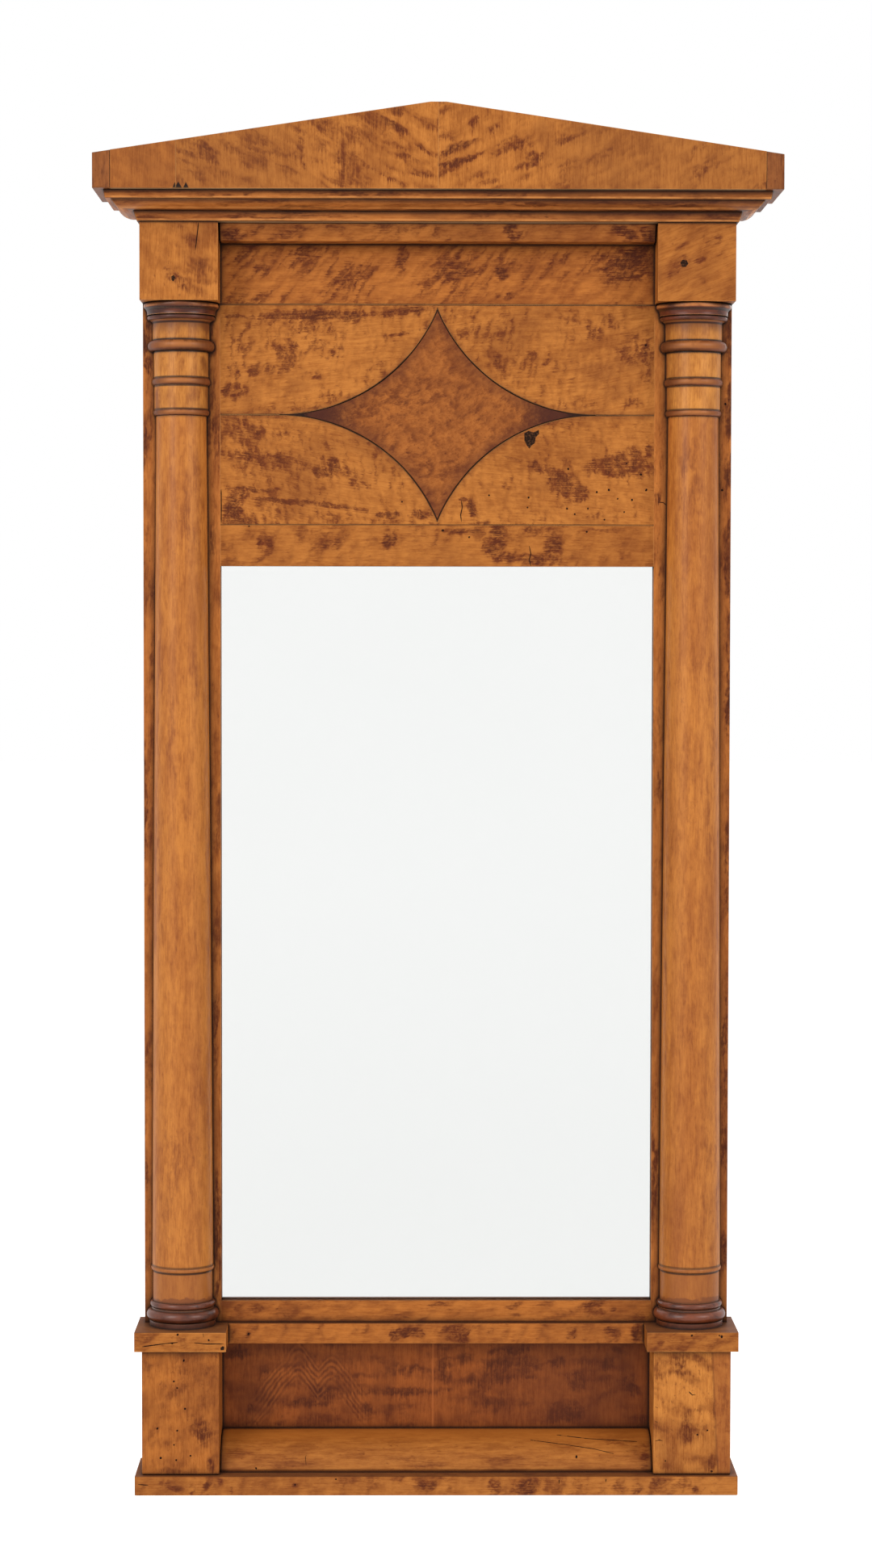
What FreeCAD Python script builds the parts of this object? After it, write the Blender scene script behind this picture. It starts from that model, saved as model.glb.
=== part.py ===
"""Wall mirror in the Biedermeier style: flame birch on a pine carcase, two turned columns,
a pediment, a star inlay over the glass and a stepped base.

Millimetres. +Z is up, the front faces -Y and +X is to the right of someone facing the mirror.
The origin is on the wall plane, at the middle of the underside of the plinth.
"""
import FreeCAD, Part
import math
import os

import Sketcher

os.makedirs("parts", exist_ok=True)
doc = FreeCAD.newDocument("biedermeier_mirror")
Vector = FreeCAD.Vector
FULL_TURN = 360
HALF_TURN = 180
QUARTER_TURN = 90
LEFT = -1
RIGHT = 1
SIDES = (("left", LEFT), ("right", RIGHT))

# Driving sizes: alias, millimetres and what is measured
SIZES = [
    ("body_width", 534.0, "carcase, over the two stiles"),
    ("stile_width", 70.0, "stile, block and pedestal, seen from the front"),
    ("carcase_depth", 27.0, "wall to the front of the stiles"),
    ("facing_thickness", 4.0, "birch facing over the pine"),
    ("core_thickness", 14.0, "pine rail and panel behind the facing"),
    ("plinth_height", 17.2, "plinth board"),
    ("plinth_overhang", 6.4, "plinth beyond the pedestals, front and sides"),
    ("pedestal_height", 113.9, "pedestal, without its cap"),
    ("pedestal_depth", 42.0, "pedestal ahead of the stile"),
    ("cap_height", 17.5, "pedestal cap"),
    ("cap_overhang", 6.4, "cap beyond the pedestal, all round"),
    ("base_panel_setback", 16.0, "base panel behind the front of the stiles"),
    ("base_panel_thickness", 6.0, "base panel"),
    ("panel_groove", 6.0, "groove that holds a panel's edge"),
    ("base_moulding_height", 29.8, "base moulding, over the plinth"),
    ("base_moulding_reach", 32.0, "foot of the base moulding ahead of the stile"),
    ("base_moulding_ledge", 6.0, "flat top of the base moulding"),
    ("base_moulding_radius", 46.5, "swell of the base moulding"),
    ("base_moulding_lip", 3.0, "upright foot of the base moulding"),
    ("end_gap", 0.8, "shrinkage gap at the ends of planted strips"),
    ("base_strip_height", 18.5, "strip under the glass rail"),
    ("base_strip_depth", 6.0, "that strip ahead of the stile"),
    ("lower_rail_face", 20.2, "glass rail over the cap level"),
    ("sight_height", 672.7, "glass seen between the rails"),
    ("head_rail_height", 37.4, "rail over the glass"),
    ("panel_height", 199.4, "star panel"),
    ("frieze_height", 70.0, "frieze and corner blocks"),
    ("frieze_strip_height", 15.5, "splayed strip under the cornice"),
    ("frieze_strip_top", 30.0, "that strip ahead of the stile, top edge"),
    ("frieze_strip_foot", 21.0, "that strip ahead of the stile, bottom edge"),
    ("block_depth", 41.0, "corner block ahead of the stile"),
    ("fascia_height", 8.9, "lowest cornice moulding"),
    ("fascia_low", 2.2, "its overhang at the bottom"),
    ("fascia_top", 5.0, "its overhang at the top"),
    ("ovolo_height", 8.2, "middle cornice moulding"),
    ("ovolo_low", 9.5, "its overhang at the bottom"),
    ("ovolo_top", 23.5, "its overhang at the top"),
    ("ovolo_radius", 16.1, "its swell"),
    ("crown_height", 7.6, "upper cornice moulding"),
    ("crown_low", 28.4, "its overhang at the bottom"),
    ("crown_top", 29.8, "its overhang at the top"),
    ("pediment_overhang", 38.8, "pediment beyond the corner blocks"),
    ("pediment_end_height", 31.0, "pediment at its ends"),
    ("pediment_rise", 45.1, "apex over the ends"),
    ("apex_flat", 14.0, "blunted apex"),
    ("pediment_thickness", 16.0, "pediment board with its veneer"),
    ("veneer_thickness", 1.2, "veneer on the pediment"),
    ("end_leaf_width", 58.0, "narrow veneer leaf at the left end"),
    ("star_half_width", 143.7, "star, centre to side tip"),
    ("star_end_gap", 3.9, "star's top tip below the head of its panel"),
    ("star_tip", 0.6, "blunted side tip of the star's opening"),
    ("inlay_side_gap", 3.0, "star short of the side tips of its opening"),
    ("inlay_top_gap", 1.0, "star short of the top and bottom tips of its opening"),
    ("star_recess", 0.4, "star below the face of the leaves"),
    ("column_offset", 6.0, "column axis ahead of the stile"),
    ("shaft_top_radius", 22.7, "shaft under its necking"),
    ("shaft_mid_radius", 25.45, "shaft at half height"),
    ("shaft_foot_radius", 27.9, "shaft over its foot ring"),
    ("foot_ring_height", 4.4, "that ring's height"),
    ("foot_drum_height", 27.6, "drum between the foot ring and the base"),
    ("foot_drum_radius", 27.1, "that drum"),
    ("base_height", 23.0, "turned base"),
    ("base_upper_radius", 29.7, "upper torus of the base"),
    ("base_upper_height", 6.0, "upper torus"),
    ("base_groove_radius", 28.4, "groove between the tori"),
    ("base_groove_height", 1.6, "that groove"),
    ("base_lower_radius", 32.8, "lower torus of the base"),
    ("base_lower_height", 10.4, "lower torus"),
    ("base_foot_radius", 30.2, "undercut foot of the base"),
    ("ring_low_height", 5.8, "lowest neck ring"),
    ("neck_low_radius", 24.2, "neck between the lower rings"),
    ("neck_low_height", 21.6, "neck between the lower rings"),
    ("ring_mid_height", 6.9, "middle neck ring"),
    ("neck_mid_radius", 24.6, "neck between the upper rings"),
    ("neck_mid_height", 23.8, "neck between the upper rings"),
    ("ring_top_radius", 30.1, "top neck ring"),
    ("ring_top_height", 9.8, "top neck ring"),
    ("neck_top_radius", 25.6, "neck under the capital"),
    ("neck_top_height", 14.4, "neck under the capital, up to its flare"),
    ("flare_radius", 28.2, "flare under the capital"),
    ("flare_height", 3.9, "flare under the capital"),
    ("astragal_radius", 30.5, "thin ring of the capital"),
    ("astragal_height", 4.4, "thin ring of the capital"),
    ("scotia_low_radius", 31.1, "hollow of the capital, at its foot"),
    ("scotia_top_radius", 31.9, "hollow of the capital, at its top"),
    ("scotia_height", 5.5, "hollow of the capital"),
    ("scotia_hollow", 6.0, "curve of the hollow"),
    ("abacus_radius", 32.4, "top torus of the capital, where it meets the block"),
    ("abacus_height", 5.9, "top torus of the capital"),
    ("tenon_radius", 5.0, "turned pins that join the column"),
    ("base_pin", 10.0, "pin into the cap"),
    ("shaft_pin", 20.0, "pin of the shaft into the neck"),
    ("block_pin", 20.0, "pin of the neck into the block"),
    ("pin_clearance", 0.15, "clearance round pins and tenons"),
    ("tenon_length", 30.0, "rail tenons"),
    ("tenon_thickness", 6.0, "rail tenons"),
    ("tenon_shoulder", 5.0, "shoulder above and below a tenon"),
    ("tenon_setback", 1.0, "tenon behind the front of its rail"),
    ("stub_length", 10.0, "stub tenons at the stile ends"),
    ("stub_width", 40.0, "stub tenons at the stile ends"),
    ("stub_thickness", 12.0, "stub tenons at the stile ends"),
    ("peg_radius", 3.0, "pegs through the tenons"),
    ("peg_edge", 8.0, "peg from the far edge of its rail"),
    ("peg_inset", 15.0, "peg from the stile's inner edge"),
    ("peg_length", 25.0, "pegs through the tenons"),
    ("glass_lip", 7.0, "front of the stiles to the glass"),
    ("glass_rabbet", 12.0, "glass rabbet, beyond the sight edge"),
    ("glass_clearance", 1.0, "glass short of its rabbet"),
    ("glass_thickness", 3.0, "mirror plate"),
    ("silvering_thickness", 0.2, "silvering with its backing paint"),
    ("silvering_margin", 2.0, "bare edge round the silvering"),
    ("board_rabbet", 22.0, "backboard rabbet, beyond the sight edge"),
    ("backboard_thickness", 6.0, "backboards"),
    ("backboard_gap", 1.0, "between and round the backboards"),
    ("slip_width", 9.0, "slips that hold the glass"),
    ("nail_head_radius", 2.4, "backboard nails"),
    ("nail_head_height", 0.8, "backboard nails"),
    ("nail_radius", 0.9, "backboard nails"),
    ("nail_length", 18.0, "backboard nails, under the head"),
    ("nail_edge", 24.0, "nail from the board's long edge"),
    ("hanger_inset", 47.0, "middle of a hanger from the stile's inner edge"),
    ("hanger_height", 38.0, "hinge of the hangers over the rail's foot"),
    ("plate_width", 46.0, "hanger plate"),
    ("plate_height", 16.0, "hanger plate"),
    ("plate_thickness", 1.6, "hanger plate"),
    ("plate_lift", 2.5, "plate over the hinge axis"),
    ("ring_radius", 16.0, "hanger ring, middle of the wire"),
    ("wire_radius", 1.7, "hanger ring"),
    ("ring_clearance", 0.08, "ring in its knuckle"),
    ("ring_standoff", 0.6, "ring off its plate"),
    ("knuckle_length", 11.0, "knuckle of the hanger"),
    ("screw_spacing", 30.0, "screws of a hanger plate"),
    ("screw_radius", 1.5, "hanger screw"),
    ("screw_length", 12.0, "hanger screw under its head"),
    ("screw_head_radius", 3.0, "hanger screw head"),
    ("screw_head_height", 1.3, "hanger screw head"),
    ("glue_block_side", 15.0, "glue block"),
    ("glue_block_length", 42.0, "glue block"),
    ("overrun", 1.0, "how far cutters run past a face"),
]
SCREW_CROWN_SHARE = 0.6
SHAFT_MIDDLE_SHARE = 0.54
RING_RADIUS_SHARE = 0.6
BEAD_RADIUS_SHARE = 0.51
BEAD_RISE_SHARE = BEAD_RADIUS_SHARE - math.sqrt(BEAD_RADIUS_SHARE ** 2 - 0.25)
GLUE_BLOCK_SHARES = (-0.72, -0.26, 0.26, 0.72)
BACKBOARDS = ("backboard_lower", "backboard_middle", "backboard_upper")


class Size:
    """A length with its number, for placing sketch points, and its spreadsheet formula."""

    def __init__(self, number, formula):
        self.number = float(number)
        self.formula = formula

    def __add__(self, other):
        other = as_size(other)
        return Size(self.number + other.number, f"({self.formula} + {other.formula})")

    def __sub__(self, other):
        other = as_size(other)
        return Size(self.number - other.number, f"({self.formula} - {other.formula})")

    def __mul__(self, other):
        other = as_size(other)
        return Size(self.number * other.number, f"({self.formula} * {other.formula})")

    def __truediv__(self, other):
        other = as_size(other)
        return Size(self.number / other.number, f"({self.formula} / {other.formula})")

    def __neg__(self):
        return Size(-self.number, f"(0 - {self.formula})")

    __rmul__ = __mul__
    __radd__ = __add__


def as_size(value):
    """A plain factor or zero becomes a Size, so that it can stand in a formula."""
    if isinstance(value, Size):
        return value
    return Size(value, repr(float(value)))


ZERO = as_size(0)


class Dims:
    """The named sizes, as attributes."""


sheet = doc.addObject("Spreadsheet::Sheet", "Dims")
dims = Dims()
for row, (alias, number, meaning) in enumerate(SIZES, start=1):
    sheet.set(f"A{row}", str(number))
    sheet.setAlias(f"A{row}", alias)
    sheet.set(f"B{row}", meaning)
    setattr(dims, alias, Size(number, f"Dims.{alias}"))
doc.recompute()

SUBPARTS = []


def subpart(label, item):
    """Names a finished piece and lists it for writing."""
    item.Label = label
    SUBPARTS.append(item)
    return item


def bind(item, **formulas):
    """Binds properties of an object to formulas over the sheet."""
    for name, size in formulas.items():
        item.setExpression(name, as_size(size).formula)


def place(item, x=ZERO, y=ZERO, z=ZERO):
    """Binds the position of an object."""
    for axis, size in (("x", x), ("y", y), ("z", z)):
        item.setExpression(f"Placement.Base.{axis}", as_size(size).formula)
    return item


def box(name, x_span, y_span, z_span):
    """A block between the given low and high values on each axis."""
    item = doc.addObject("Part::Box", name)
    bind(item, Length=x_span[1] - x_span[0], Width=y_span[1] - y_span[0], Height=z_span[1] - z_span[0])
    return place(item, x_span[0], y_span[0], z_span[0])


def cylinder(name, radius, length, x, y, z, axis, turn):
    """A round bar; its own length runs along Z until it is turned about the given axis."""
    item = doc.addObject("Part::Cylinder", name)
    bind(item, Radius=radius, Height=length)
    item.Placement = FreeCAD.Placement(Vector(), FreeCAD.Rotation(axis, turn))
    return place(item, x, y, z)


def bar_back(name, radius, length, x, y, z):
    """A round bar that starts at the given point and runs towards the front."""
    return cylinder(name, radius, length, x, y, z, Vector(1, 0, 0), QUARTER_TURN)


def join(name, items):
    item = doc.addObject("Part::MultiFuse", name)
    item.Shapes = items
    return item


def group(name, items):
    item = doc.addObject("Part::Compound", name)
    item.Links = items
    return item


def cut(name, base, tools):
    """Takes the tools away from the base."""
    item = doc.addObject("Part::Cut", name)
    item.Base = base
    item.Tool = tools[0] if len(tools) == 1 else join(name + "_tools", tools)
    return item


def common(name, base, tool):
    item = doc.addObject("Part::Common", name)
    item.Base = base
    item.Tool = tool
    return item


def span(side, low, high):
    """The X span of a piece on one side, given as distances from the middle."""
    return (low, high) if side == RIGHT else (-high, -low)


def arc_through(start, end, radius, bulge):
    """A circular arc between two points; it swells to the left of the way for bulge 1, else right."""
    chord = end - start
    middle = (start + end) * 0.5
    rise = radius - math.sqrt(max(radius * radius - chord.Length * chord.Length / 4, 0))
    aside = Vector(-chord.y, chord.x, 0)
    aside.normalize()
    crest = middle + aside * (rise * bulge)
    ends = (end, start) if bulge > 0 else (start, end)
    return Part.Arc(ends[0], crest, ends[1])


def outline(body, role, corners):
    """A closed outline on one of the body's planes.

    A corner is (u, v), or (u, v, radius, bulge) where the way to that corner is an arc.
    """
    sketch = body.newObject("Sketcher::SketchObject", body.Name + "_outline")
    plane = [item for item in body.Origin.OriginFeatures if item.Role == role][0]
    sketch.AttachmentSupport = (plane, [""])
    sketch.MapMode = "FlatFace"
    points = [Vector(as_size(c[0]).number, as_size(c[1]).number, 0) for c in corners]
    count = len(corners)
    ends = []
    for i in range(count):
        goal = corners[(i + 1) % count]
        start, end = points[i], points[(i + 1) % count]
        if len(goal) == 2:
            sketch.addGeometry(Part.LineSegment(start, end), False)
            ends.append((1, 2))
        else:
            sketch.addGeometry(arc_through(start, end, goal[2].number, goal[3]), False)
            ends.append((2, 1) if goal[3] > 0 else (1, 2))
    for i in range(count):
        j = (i + 1) % count
        sketch.addConstraint(Sketcher.Constraint("Coincident", i, ends[i][1], j, ends[j][0]))
    for i, corner in enumerate(corners):
        for kind, value in (("DistanceX", corner[0]), ("DistanceY", corner[1])):
            size = as_size(value)
            index = sketch.addConstraint(Sketcher.Constraint(kind, -1, 1, i, ends[i][0], size.number))
            sketch.setExpression(f"Constraints[{index}]", size.formula)
        goal = corners[(i + 1) % count]
        if len(goal) == 4:
            index = sketch.addConstraint(Sketcher.Constraint("Radius", i, goal[2].number))
            sketch.setExpression(f"Constraints[{index}]", goal[2].formula)
    return sketch


def prism(name, role, corners, length, midplane=False, reverse=False):
    """An outline on a plane, padded by a length."""
    body = doc.addObject("PartDesign::Body", name)
    pad = body.newObject("PartDesign::Pad", name + "_pad")
    pad.Profile = outline(body, role, corners)
    pad.Midplane = midplane
    pad.Reversed = reverse
    bind(pad, Length=length)
    body.Tip = pad
    return body


def turned(name, corners):
    """An outline of radii and heights, turned about the Z axis."""
    body = doc.addObject("PartDesign::Body", name)
    sketch = outline(body, "XZ_Plane", corners)
    turn = body.newObject("PartDesign::Revolution", name + "_turn")
    turn.Profile = sketch
    turn.ReferenceAxis = (sketch, ["V_Axis"])
    turn.Angle = FULL_TURN
    body.Tip = turn
    return body


slack = dims.pin_clearance

# Widths from the middle
half_body = dims.body_width / 2
half_opening = half_body - dims.stile_width
half_pediment = half_body + dims.pediment_overhang
column_x = half_opening + dims.stile_width / 2

# Heights
plinth_top = dims.plinth_height
cap_foot = plinth_top + dims.pedestal_height
cap_top = cap_foot + dims.cap_height
strip_foot = cap_top - dims.base_strip_height
glass_foot = cap_top + dims.lower_rail_face
glass_head = glass_foot + dims.sight_height
panel_foot = glass_head + dims.head_rail_height
frieze_foot = panel_foot + dims.panel_height
cornice_foot = frieze_foot + dims.frieze_height
ovolo_foot = cornice_foot + dims.fascia_height
crown_foot = ovolo_foot + dims.ovolo_height
pediment_foot = crown_foot + dims.crown_height
pediment_end = pediment_foot + dims.pediment_end_height
apex = pediment_end + dims.pediment_rise

# Planes, as Y values: the wall is 0 and the front is negative
stile_face = -dims.carcase_depth
core_face = stile_face + dims.facing_thickness
core_back = core_face + dims.core_thickness
block_face = stile_face - dims.block_depth
pedestal_face = stile_face - dims.pedestal_depth
plinth_face = pedestal_face - dims.plinth_overhang
cap_face = pedestal_face - dims.cap_overhang
glass_face = stile_face + dims.glass_lip
glass_back = glass_face + dims.glass_thickness
silver_back = glass_back + dims.silvering_thickness
board_back = -dims.nail_head_height
board_face = board_back - dims.backboard_thickness
base_panel_face = stile_face + dims.base_panel_setback
base_panel_back = base_panel_face + dims.base_panel_thickness


def rail_tenons(name, z_low, z_high, front, side):
    """The tenon at one end of a rail, and the mortise that takes it."""
    low, high = z_low + dims.tenon_shoulder, z_high - dims.tenon_shoulder
    face = front + dims.tenon_setback
    back = face + dims.tenon_thickness
    tip = half_opening + dims.tenon_length
    tenon = box(name + "_tenon", span(side, half_opening - dims.overrun, tip), (face, back), (low, high))
    mortise = box(name + "_mortise", span(side, half_opening - dims.overrun, tip + slack),
                  (face - slack, back + slack), (low - slack, high + slack))
    return tenon, mortise


def peg(name, side, height):
    """A peg driven from the back through a rail's tenon."""
    x = (half_opening + dims.peg_inset) * side
    return bar_back(name, dims.peg_radius, dims.peg_length, x, ZERO, height)


lower_rail_foot = strip_foot
base_panel_head = lower_rail_foot + dims.panel_groove
RAILS = (
    ("frieze_rail", frieze_foot, cornice_foot, core_face, core_back),
    ("head_rail", glass_head, panel_foot, stile_face, ZERO),
    ("lower_rail", lower_rail_foot, glass_foot, stile_face, ZERO),
)
peg_heights = {
    "frieze_rail": (frieze_foot + cornice_foot) / 2,
    "head_rail": panel_foot - dims.peg_edge,
    "lower_rail": lower_rail_foot + dims.peg_edge,
}

# Rebates behind the sight edge, shared by the stiles and the two glass rails
wide = dims.board_rabbet
narrow = dims.glass_rabbet


def rebates(name):
    """The stepped rebate for the glass and the backboards, as one cutter."""
    deep = box(name + "_deep", (-half_opening - narrow, half_opening + narrow),
               (glass_face, dims.overrun), (glass_foot - narrow, glass_head + narrow))
    shallow = box(name + "_shallow", (-half_opening - wide, half_opening + wide),
                  (board_face, dims.overrun), (glass_foot - wide, glass_head + wide))
    return [deep, shallow]


pegs = {}
mortises = {LEFT: [], RIGHT: []}
rail_bodies = {}
for rail_name, low, high, front, back in RAILS:
    blank = box(rail_name + "_blank", (-half_opening, half_opening), (front, back), (low, high))
    pieces = [blank]
    for side_name, side in SIDES:
        tenon, mortise = rail_tenons(f"{rail_name}_{side_name}", low, high, front, side)
        pieces.append(tenon)
        mortises[side].append(mortise)
        pegs[rail_name, side] = peg(f"{rail_name}_{side_name}_peg", side, peg_heights[rail_name])
    rail_bodies[rail_name] = join(rail_name + "_whole", pieces)


def nail(name, x, z):
    """A cut nail with a round head, driven from the back."""
    shank = bar_back(name + "_shank", dims.nail_radius, dims.nail_length, x, board_back, z)
    head = bar_back(name + "_head", dims.nail_head_radius, dims.nail_head_height, x, ZERO, z)
    return join(name, [shank, head])


# Backboards, and the nails that hold them to the stiles
boards_foot = glass_foot - wide + dims.backboard_gap
boards_head = glass_head + wide - dims.backboard_gap
board_step = (boards_head - boards_foot + dims.backboard_gap) / len(BACKBOARDS)
nail_x = half_opening + (narrow + wide) / 2
nails = {LEFT: [], RIGHT: []}
board_spans = []
for number in range(len(BACKBOARDS)):
    low = boards_foot + board_step * number
    high = low + board_step - dims.backboard_gap
    board_spans.append((low, high))
    for side_name, side in SIDES:
        for place_name, z in (("low", low + dims.nail_edge), ("high", high - dims.nail_edge)):
            nails[side].append(nail(f"nail_{number}_{side_name}_{place_name}", nail_x * side, z))
all_nails = nails[LEFT] + nails[RIGHT]
subpart("backboard_nails", group("backboard_nails", all_nails))
half_boards = half_opening + wide - dims.backboard_gap
for board_name, (low, high) in zip(BACKBOARDS, board_spans):
    blank = box(board_name + "_blank", (-half_boards, half_boards), (board_face, board_back), (low, high))
    subpart(board_name, cut(board_name, blank, [group(board_name + "_holes", all_nails)]))

# Stiles, with their mortises, rebates, grooves and stub tenons
stub_y = stile_face / 2
stub_half = dims.stub_thickness / 2
groove_span = (core_back - dims.core_thickness / 2 - dims.tenon_thickness / 2,
               core_back - dims.core_thickness / 2 + dims.tenon_thickness / 2)


def stub_span(side, extra):
    """X span of the stub tenon at a stile's end, or of its mortise."""
    half = dims.stub_width / 2 + extra
    return span(side, column_x - half, column_x + half)


for side_name, side in SIDES:
    name = "stile_" + side_name
    blank = box(name + "_blank", span(side, half_opening, half_body), (stile_face, ZERO),
                (plinth_top, cornice_foot))
    stubs = box(name + "_stubs", stub_span(side, ZERO), (stub_y - stub_half, stub_y + stub_half),
                (plinth_top - dims.stub_length, cornice_foot + dims.stub_length))
    panel_groove = box(name + "_panel_groove",
                       span(side, half_opening - dims.overrun, half_opening + dims.panel_groove + slack),
                       groove_span, (panel_foot, frieze_foot))
    base_groove = box(name + "_base_groove",
                      span(side, half_opening - dims.overrun, half_opening + dims.panel_groove + slack),
                      (base_panel_face, base_panel_back),
                      (plinth_top - dims.overrun, base_panel_head + slack))
    tools = mortises[side] + rebates(name) + [panel_groove, base_groove] + nails[side]
    tools += [pegs[rail_name, side] for rail_name, *_ in RAILS]
    subpart(name, cut(name, join(name + "_whole", [blank, stubs]), tools))

# Rails between the stiles
for rail_name, *_ in RAILS:
    tools = [pegs[rail_name, side] for _, side in SIDES]
    if rail_name != "frieze_rail":
        tools += rebates(rail_name)
    if rail_name == "lower_rail":
        tools.append(box("lower_rail_groove", (-half_opening, half_opening),
                         (base_panel_face, base_panel_back),
                         (lower_rail_foot - dims.overrun, base_panel_head + slack)))
    if rail_name == "frieze_rail":
        hanger_x = half_opening - dims.hanger_inset
        screw_z = frieze_foot + dims.hanger_height + dims.plate_lift + dims.plate_height / 2
        for side_name, side in SIDES:
            for hand in (LEFT, RIGHT):
                x = hanger_x * side + dims.screw_spacing / 2 * hand
                tools.append(bar_back(f"rail_screw_hole_{side_name}_{hand}", dims.screw_radius,
                                      dims.screw_length - dims.plate_thickness, x, core_back, screw_z))
    subpart(rail_name, cut(rail_name, rail_bodies[rail_name], tools))
subpart("tenon_pegs", group("tenon_pegs", list(pegs.values())))

# Star panel: a pine core in the stiles' grooves, two birch leaves and the star let into them
core = box("panel_core_board", (-half_opening, half_opening), (core_face, core_back),
           (panel_foot, frieze_foot))
tongue_reach = half_opening + dims.panel_groove
tongues = box("panel_core_tongues", (-tongue_reach, tongue_reach),
              (groove_span[0] + slack, groove_span[1] - slack), (panel_foot, frieze_foot))
subpart("panel_core", join("panel_core", [core, tongues]))

star_z = (panel_foot + frieze_foot) / 2
star_half_height = dims.panel_height / 2 - dims.star_end_gap


def star_radius(half_width, half_height):
    """Radius of an arc that is level at the side tip and passes through the top tip."""
    return (half_width * half_width + half_height * half_height) / (half_height * 2)


cut_radius = star_radius(dims.star_half_width, star_half_height - dims.star_tip / 2)
for leaf_name, hand, edge in (("panel_leaf_upper", 1, frieze_foot), ("panel_leaf_lower", -1, panel_foot)):
    tip_z = star_z + star_half_height * hand
    corner_z = star_z + dims.star_tip / 2 * hand
    leaf = prism(leaf_name, "XZ_Plane", [
        (-half_opening, star_z),
        (-dims.star_half_width, star_z),
        (-dims.star_half_width, corner_z),
        (ZERO, tip_z, cut_radius, -hand),
        (dims.star_half_width, corner_z, cut_radius, -hand),
        (dims.star_half_width, star_z),
        (half_opening, star_z),
        (half_opening, edge),
        (-half_opening, edge),
    ], dims.facing_thickness)
    place(leaf, y=core_face)
    subpart(leaf_name, leaf)

inner_width = dims.star_half_width - dims.inlay_side_gap
inner_height = star_half_height - dims.inlay_top_gap
inner_tip = dims.star_tip / 2
inner_radius = star_radius(inner_width, inner_height - inner_tip)
star = prism("star_inlay", "XZ_Plane", [
    (inner_width, star_z - inner_tip, inner_radius, 1),
    (inner_width, star_z + inner_tip),
    (ZERO, star_z + inner_height, inner_radius, 1),
    (-inner_width, star_z + inner_tip, inner_radius, 1),
    (-inner_width, star_z - inner_tip),
    (ZERO, star_z - inner_height, inner_radius, 1),
], dims.facing_thickness - dims.star_recess)
subpart("star_inlay", place(star, y=core_face))

# Frieze board and the splayed strip under the cornice
subpart("frieze_board", box("frieze_board", (-half_opening, half_opening), (stile_face, core_face),
                            (frieze_foot, cornice_foot)))
strip_half = half_opening - dims.end_gap
frieze_strip = prism("frieze_strip", "YZ_Plane", [
    (stile_face, cornice_foot),
    (stile_face, cornice_foot - dims.frieze_strip_height),
    (stile_face - dims.frieze_strip_foot, cornice_foot - dims.frieze_strip_height),
    (stile_face - dims.frieze_strip_top, cornice_foot),
], strip_half * 2, midplane=True)
subpart("frieze_strip", frieze_strip)

# Plinth, pedestals and their caps
half_plinth = half_body + dims.plinth_overhang
plinth_blank = box("plinth_blank", (-half_plinth, half_plinth), (plinth_face, ZERO), (ZERO, plinth_top))
plinth_mortises = [
    box(f"plinth_mortise_{side_name}", stub_span(side, slack),
        (stub_y - stub_half - slack, stub_y + stub_half + slack),
        (plinth_top - dims.stub_length - slack, plinth_top + dims.overrun))
    for side_name, side in SIDES
]
subpart("plinth_board", cut("plinth_board", plinth_blank, plinth_mortises))

column_y = stile_face - dims.column_offset
for side_name, side in SIDES:
    subpart("pedestal_" + side_name,
            box("pedestal_" + side_name, span(side, half_opening, half_body), (pedestal_face, stile_face),
                (plinth_top, cap_foot)))
    name = "pedestal_cap_" + side_name
    front = box(name + "_front", span(side, half_opening - dims.cap_overhang, half_body + dims.cap_overhang),
                (cap_face, stile_face), (cap_foot, cap_top))
    flank = box(name + "_flank", span(side, half_body, half_body + dims.cap_overhang),
                (stile_face - dims.overrun, ZERO), (cap_foot, cap_top))
    socket = cylinder(name + "_socket", dims.tenon_radius + slack, dims.base_pin + slack + dims.overrun,
                      column_x * side, column_y, cap_top - dims.base_pin - slack, Vector(0, 0, 1), 0)
    subpart(name, cut(name, join(name + "_whole", [front, flank]), [socket]))

# Base panel, base moulding and the strip over the panel
subpart("base_panel", box("base_panel",
                          (-half_opening - dims.panel_groove, half_opening + dims.panel_groove),
                          (base_panel_face, base_panel_back), (plinth_top, base_panel_head)))
moulding_foot = stile_face - dims.base_moulding_reach
moulding_top = plinth_top + dims.base_moulding_height
base_moulding = prism("base_moulding", "YZ_Plane", [
    (base_panel_face, plinth_top),
    (moulding_foot, plinth_top),
    (moulding_foot, plinth_top + dims.base_moulding_lip),
    (base_panel_face - dims.base_moulding_ledge, moulding_top, dims.base_moulding_radius, 1),
    (base_panel_face, moulding_top),
], (half_opening - dims.end_gap) * 2, midplane=True)
subpart("base_moulding", base_moulding)
inner_cap = half_opening - dims.cap_overhang
subpart("base_strip", box("base_strip", (-inner_cap, inner_cap),
                          (stile_face - dims.base_strip_depth, stile_face), (strip_foot, cap_top)))

# Columns: turned base, shaft, neck and capital, flattened where they meet the stile
pin = dims.tenon_radius
bore = dims.tenon_radius + slack
base_top = cap_top + dims.base_height
neck_rises = (dims.ring_low_height, dims.neck_low_height, dims.ring_mid_height, dims.neck_mid_height,
              dims.ring_top_height, dims.neck_top_height, dims.flare_height)
neck_height = sum(neck_rises, ZERO)
capital_foot = frieze_foot - dims.abacus_height - dims.scotia_height - dims.astragal_height
neck_foot = capital_foot - neck_height


def bead(crest, low, high):
    """Corners of a half round ring that stands out square from its neighbours."""
    height = high - low
    root = crest - height * BEAD_RISE_SHARE
    return [(root, low), (root, high, height * BEAD_RADIUS_SHARE, -1)]


def ring(radius, low, high):
    """The corner that ends a slight ring, swelling from the neighbour under it."""
    return [(radius, high, (high - low) * RING_RADIUS_SHARE, -1)]


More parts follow.
